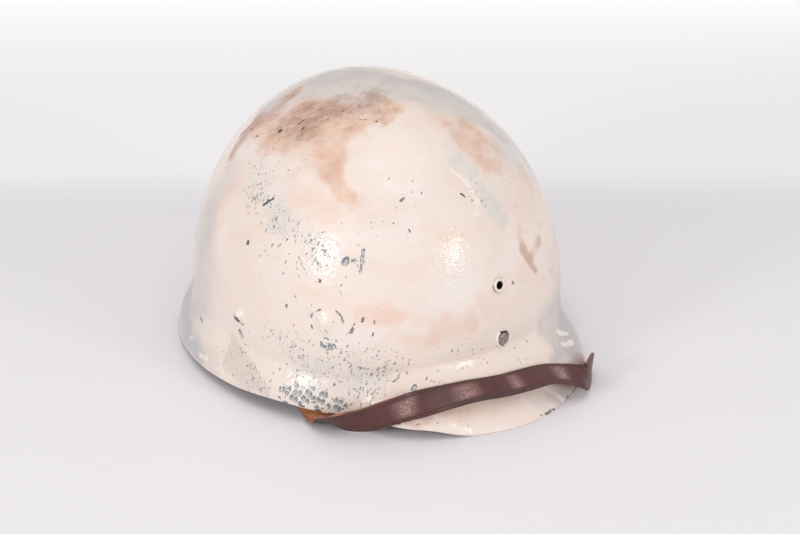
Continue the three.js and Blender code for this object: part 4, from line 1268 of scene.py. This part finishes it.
def chord_slopes(xs, ys):
    """Slope at each knot: the rise over both neighbours, one-sided at the ends."""
    ahead = np.append(np.arange(1, len(xs)), len(xs) - 1)
    behind = np.insert(np.arange(0, len(xs) - 1), 0, 0)
    return (ys[ahead] - ys[behind]) / (xs[ahead] - xs[behind])


def strap_line():
    """Reads x, y, z and lean as smooth functions of the distance along the places."""
    rows = np.array(STRAP_PLACES, float)
    rows[:, 1] += SHELL["forward"]
    hops = np.linalg.norm(np.diff(rows[:, :3], axis=0), axis=1)
    stations = np.concatenate([[0], np.cumsum(hops)])
    reads = [cubic_table(stations, rows[:, k], chord_slopes(stations, rows[:, k])) for k in range(4)]
    return stations[-1], lambda s: np.stack([read(s) for read in reads], axis=-1)


strap_length, strap_at = strap_line()
print("strap line", round(strap_length, 1), "mm between places")

# %% Strap section and sweep
def strap_section():
    """Round the section: crowned grain face, soft edge, flat flesh face, soft edge.
    Each edge is half a superellipse, cos and sin to the power 0.8, half a thickness high."""
    half, soft = STRAP["width"] / 2, STRAP["soft_edge"]
    face = STRAP["thick"] / 2 - STRAP["face_inset"]
    flat = np.linspace(-1, 1, 17)
    a = np.linspace(math.pi / 2, -math.pi / 2, 9)[1:-1]
    bow = STRAP["crown"] * (1 - flat ** 2)
    grain = np.stack([flat * (half - soft), face + bow], axis=-1)
    height = face * np.sign(np.sin(a)) * np.abs(np.sin(a)) ** 0.8
    edge = np.stack([half - soft + soft * np.cos(a) ** 0.8, height], axis=-1)
    flesh = np.stack([-flat * (half - soft), np.full(len(flat), -face)], axis=-1)
    other = -edge
    return np.concatenate([grain, edge, flesh, other])


def lay_strap_flat(mesh, s, girth):
    """The UV map: (distance along the strap, distance round its section) at each corner."""
    count = len(girth) - 1
    row, column = np.meshgrid(np.arange(len(s) - 1), np.arange(count), indexing="ij")

    def uv(r, c):
        return np.stack([s[r], girth[c]], axis=-1)

    corners = np.stack([uv(row, column + 1), uv(row + 1, column + 1),
                        uv(row + 1, column), uv(row, column)], axis=2)
    first_cap = uv(np.zeros(count, int), np.arange(count))
    last_cap = uv(np.full(count, len(s) - 1), np.arange(count)[::-1])
    places = np.concatenate([corners.reshape(-1, 2), first_cap, last_cap]) * MM
    layer = mesh.uv_layers.new(name="lay")
    layer.data.foreach_set("uv", places.astype(np.float32).ravel())


def strap_mesh():
    """Sweeps the section: place + across times the edge direction + up times the grain normal."""
    s = np.linspace(0, strap_length, STRAP["steps"])
    centre = strap_at(s)
    ahead, behind = strap_at(np.minimum(s + 0.5, strap_length)), strap_at(np.maximum(s - 0.5, 0))
    along = ahead[:, :3] - behind[:, :3]
    along /= np.linalg.norm(along, axis=1, keepdims=True)
    upright = np.array([0, 0, 1.0]) - along * along[:, 2:3]
    upright /= np.linalg.norm(upright, axis=1, keepdims=True)
    outer = np.cross(along, upright)
    lean = np.radians(centre[:, 3:4])
    edge = upright * np.cos(lean) + outer * np.sin(lean)
    grain = np.cross(along, edge)
    from_end = np.minimum(np.minimum(s, strap_length - s), STRAP["tip"])
    share = np.sqrt(1 - ((STRAP["tip"] - from_end) / (STRAP["tip"] + STRAP["blunt"])) ** 2)
    section = strap_section()
    across, up = section[:, 0], section[:, 1]
    points = centre[:, None, :3] + edge[:, None] * (across[None, :, None] * share[:, None, None])
    points = points + grain[:, None] * up[None, :, None]
    count = len(section)
    faces = grid_faces(len(s), count)[:, ::-1]
    ends = [np.arange(count)[None, :], ((len(s) - 1) * count + np.arange(count)[::-1])[None, :]]
    mesh = build_mesh("chin_strap", points.reshape(-1, 3) * MM, [faces, ends[0], ends[1]])
    sides = np.diff(np.vstack([section, section[:1]]), axis=0)
    girth = np.concatenate([[0], np.cumsum(np.linalg.norm(sides, axis=1))])
    lay_strap_flat(mesh, s, girth)
    return mesh, girth[-1]


strap_body, strap_girth = strap_mesh()
print("strap section is", round(float(strap_girth), 1), "mm round")

# %% [markdown]
# ## Strap leather
# The grain side is dark red-brown, dyed and waxed, with a fine pebble that catches the light
# in dots. Use has creased it across. Where the band bends over the peak, pale patches speckled
# by the pebbles are painted on it as highlights. The flesh side and the cut edges were never
# dyed, so they stay tan, but the lower cut edge is painted dark, as painted shade. The UV map
# tells the sides apart: the first stretch round the section is the grain side.

# %% Leather material
# pale patches painted on the grain as highlights where the band bends over the peak
SHEEN_PATCHES = [(145, 10), (182, 12), (214, 7), (247, 8)]     # place along the strap, reach


def strap_leather(name):
    f = Finish(name)
    spot = f.add("TexCoord", 3)
    lay = f.add("UVMap", 0, {"uv_map": "lay"})
    f.add("SeparateXYZ", 0, None, Vector=lay)
    split = f.nodes[-1].outputs
    flat = (STRAP["width"] - 2 * STRAP["soft_edge"]) * MM
    girth = float(strap_girth) * MM
    v = split[1]
    off_middle = f.maths("ABSOLUTE", f.maths("SUBTRACT", v, flat / 2))
    turn = (girth - 2 * flat) / 2
    grain = f.step(off_middle, flat / 2 + 0.0009, flat / 2 + 0.0004)
    off_flesh = f.maths("ABSOLUTE", f.maths("SUBTRACT", v, girth / 2 + flat / 2))
    flesh = f.step(off_flesh, flat / 2 + 0.0002, flat / 2 - 0.0005)
    off_upper = f.maths("ABSOLUTE", f.maths("SUBTRACT", v, flat + turn * 0.62))
    upper = f.step(off_upper, turn * 0.42, turn * 0.3)

    slow = f.noise(spot, 28.0, 3.0, 0.5)
    cloud = f.noise(spot, 120.0, 5.0, 0.6)
    wide = f.step(cloud, 0.36, 0.64)
    pebble = f.nodes.new("ShaderNodeTexVoronoi")
    pebble.inputs["Scale"].default_value = 950.0
    f.put(pebble.inputs["Vector"], spot)
    grainy = pebble.outputs["Distance"]
    creases = f.add("Mapping", 0, None, Vector=lay, Scale=(420.0, 45.0, 1.0))
    wave = f.noise(creases, 1.0, 4.0, 0.55)
    crease = f.step(f.maths("ABSOLUTE", f.maths("SUBTRACT", wave, 0.5)), 0.035, 0.0)
    crease = f.maths("MULTIPLY", crease, f.step(slow, 0.4, 0.6))
    along = f.noise(f.add("Mapping", 0, None, Vector=lay, Scale=(30.0, 900.0, 1.0)), 1.0, 3.0, 0.6)
    tooled = f.step(f.maths("ABSOLUTE", f.maths("SUBTRACT", off_middle, 0.0059)), 0.0004, 0.0001)
    tooled = f.maths("MULTIPLY", tooled, grain)

    dyed = f.mix(f.step(slow, 0.38, 0.62), chart(70, 27, 22), chart(86, 38, 33))
    dyed = f.mix(f.maths("MULTIPLY", wide, 0.4), dyed, chart(98, 50, 44))
    dyed = f.mix(f.maths("MULTIPLY", f.step(along, 0.52, 0.66), 0.3), dyed, chart(56, 22, 19))
    dyed = f.mix(f.maths("MULTIPLY", crease, 0.5), dyed, chart(48, 20, 17))
    dyed = f.mix(f.maths("MULTIPLY", tooled, 0.6), dyed, chart(46, 18, 17))
    # painted highlights: the pebbles are painted pale where the band bends over the peak
    painted_sheen = None
    for place, reach in SHEEN_PATCHES:
        patch = f.step(f.maths("ABSOLUTE", f.maths("SUBTRACT", split[0], place * MM)), reach * MM, 0.0)
        painted_sheen = patch if painted_sheen is None else f.maths("MAXIMUM", painted_sheen, patch)
    painted_sheen = f.maths("MULTIPLY", painted_sheen, f.step(off_middle, 0.0065, 0.003))
    uneven = f.maths("MULTIPLY", f.maths("SUBTRACT", cloud, 0.5), 1.2)
    dots = f.step(f.maths("ADD", grainy, uneven), 0.55, 0.2)
    shine = f.maths("MULTIPLY", painted_sheen, f.maths("ADD", 0.35, f.maths("MULTIPLY", dots, 0.5)))
    dyed = f.mix(shine, dyed, chart(184, 146, 142))
    tan = f.mix(wide, chart(132, 82, 50), chart(172, 108, 58))
    # the lower cut edge is painted dark as painted shade; only the middle of the upper one keeps its tan
    shaded_lower_edge = f.mix(wide, chart(64, 36, 33), chart(92, 56, 50))
    cut_edge = f.mix(upper, shaded_lower_edge, f.mix(wide, chart(158, 108, 84), chart(112, 68, 56)))
    colour = f.mix(flesh, f.mix(grain, cut_edge, dyed), tan)
    rough = f.maths("SUBTRACT", 0.72, f.maths("MULTIPLY", grain, 0.30))
    rough = f.maths("ADD", rough, f.maths("MULTIPLY", f.maths("SUBTRACT", cloud, 0.5), 0.25))

    lift = f.maths("ADD", f.maths("MULTIPLY", grainy, -0.10), f.maths("MULTIPLY", cloud, 0.14))
    lift = f.maths("SUBTRACT", lift, f.maths("MULTIPLY", crease, 0.16))
    lift = f.maths("SUBTRACT", lift, f.maths("MULTIPLY", tooled, 0.35))
    normal = f.add("Bump", 0, None, Strength=0.8, Distance=MM, Height=lift)
    f.set(Base_Color=colour, Roughness=rough, Normal=normal, Specular_IOR_Level=0.5,
          Coat_Weight=0.25, Coat_Roughness=0.3, Coat_Normal=normal)
    return f.material


strap = add_piece("leather_chin_strap", strap_body, strap_leather("strap_leather"))
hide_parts("chin_strap")
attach(strap, "root")
print("strap", len(strap_body.polygons), "faces")
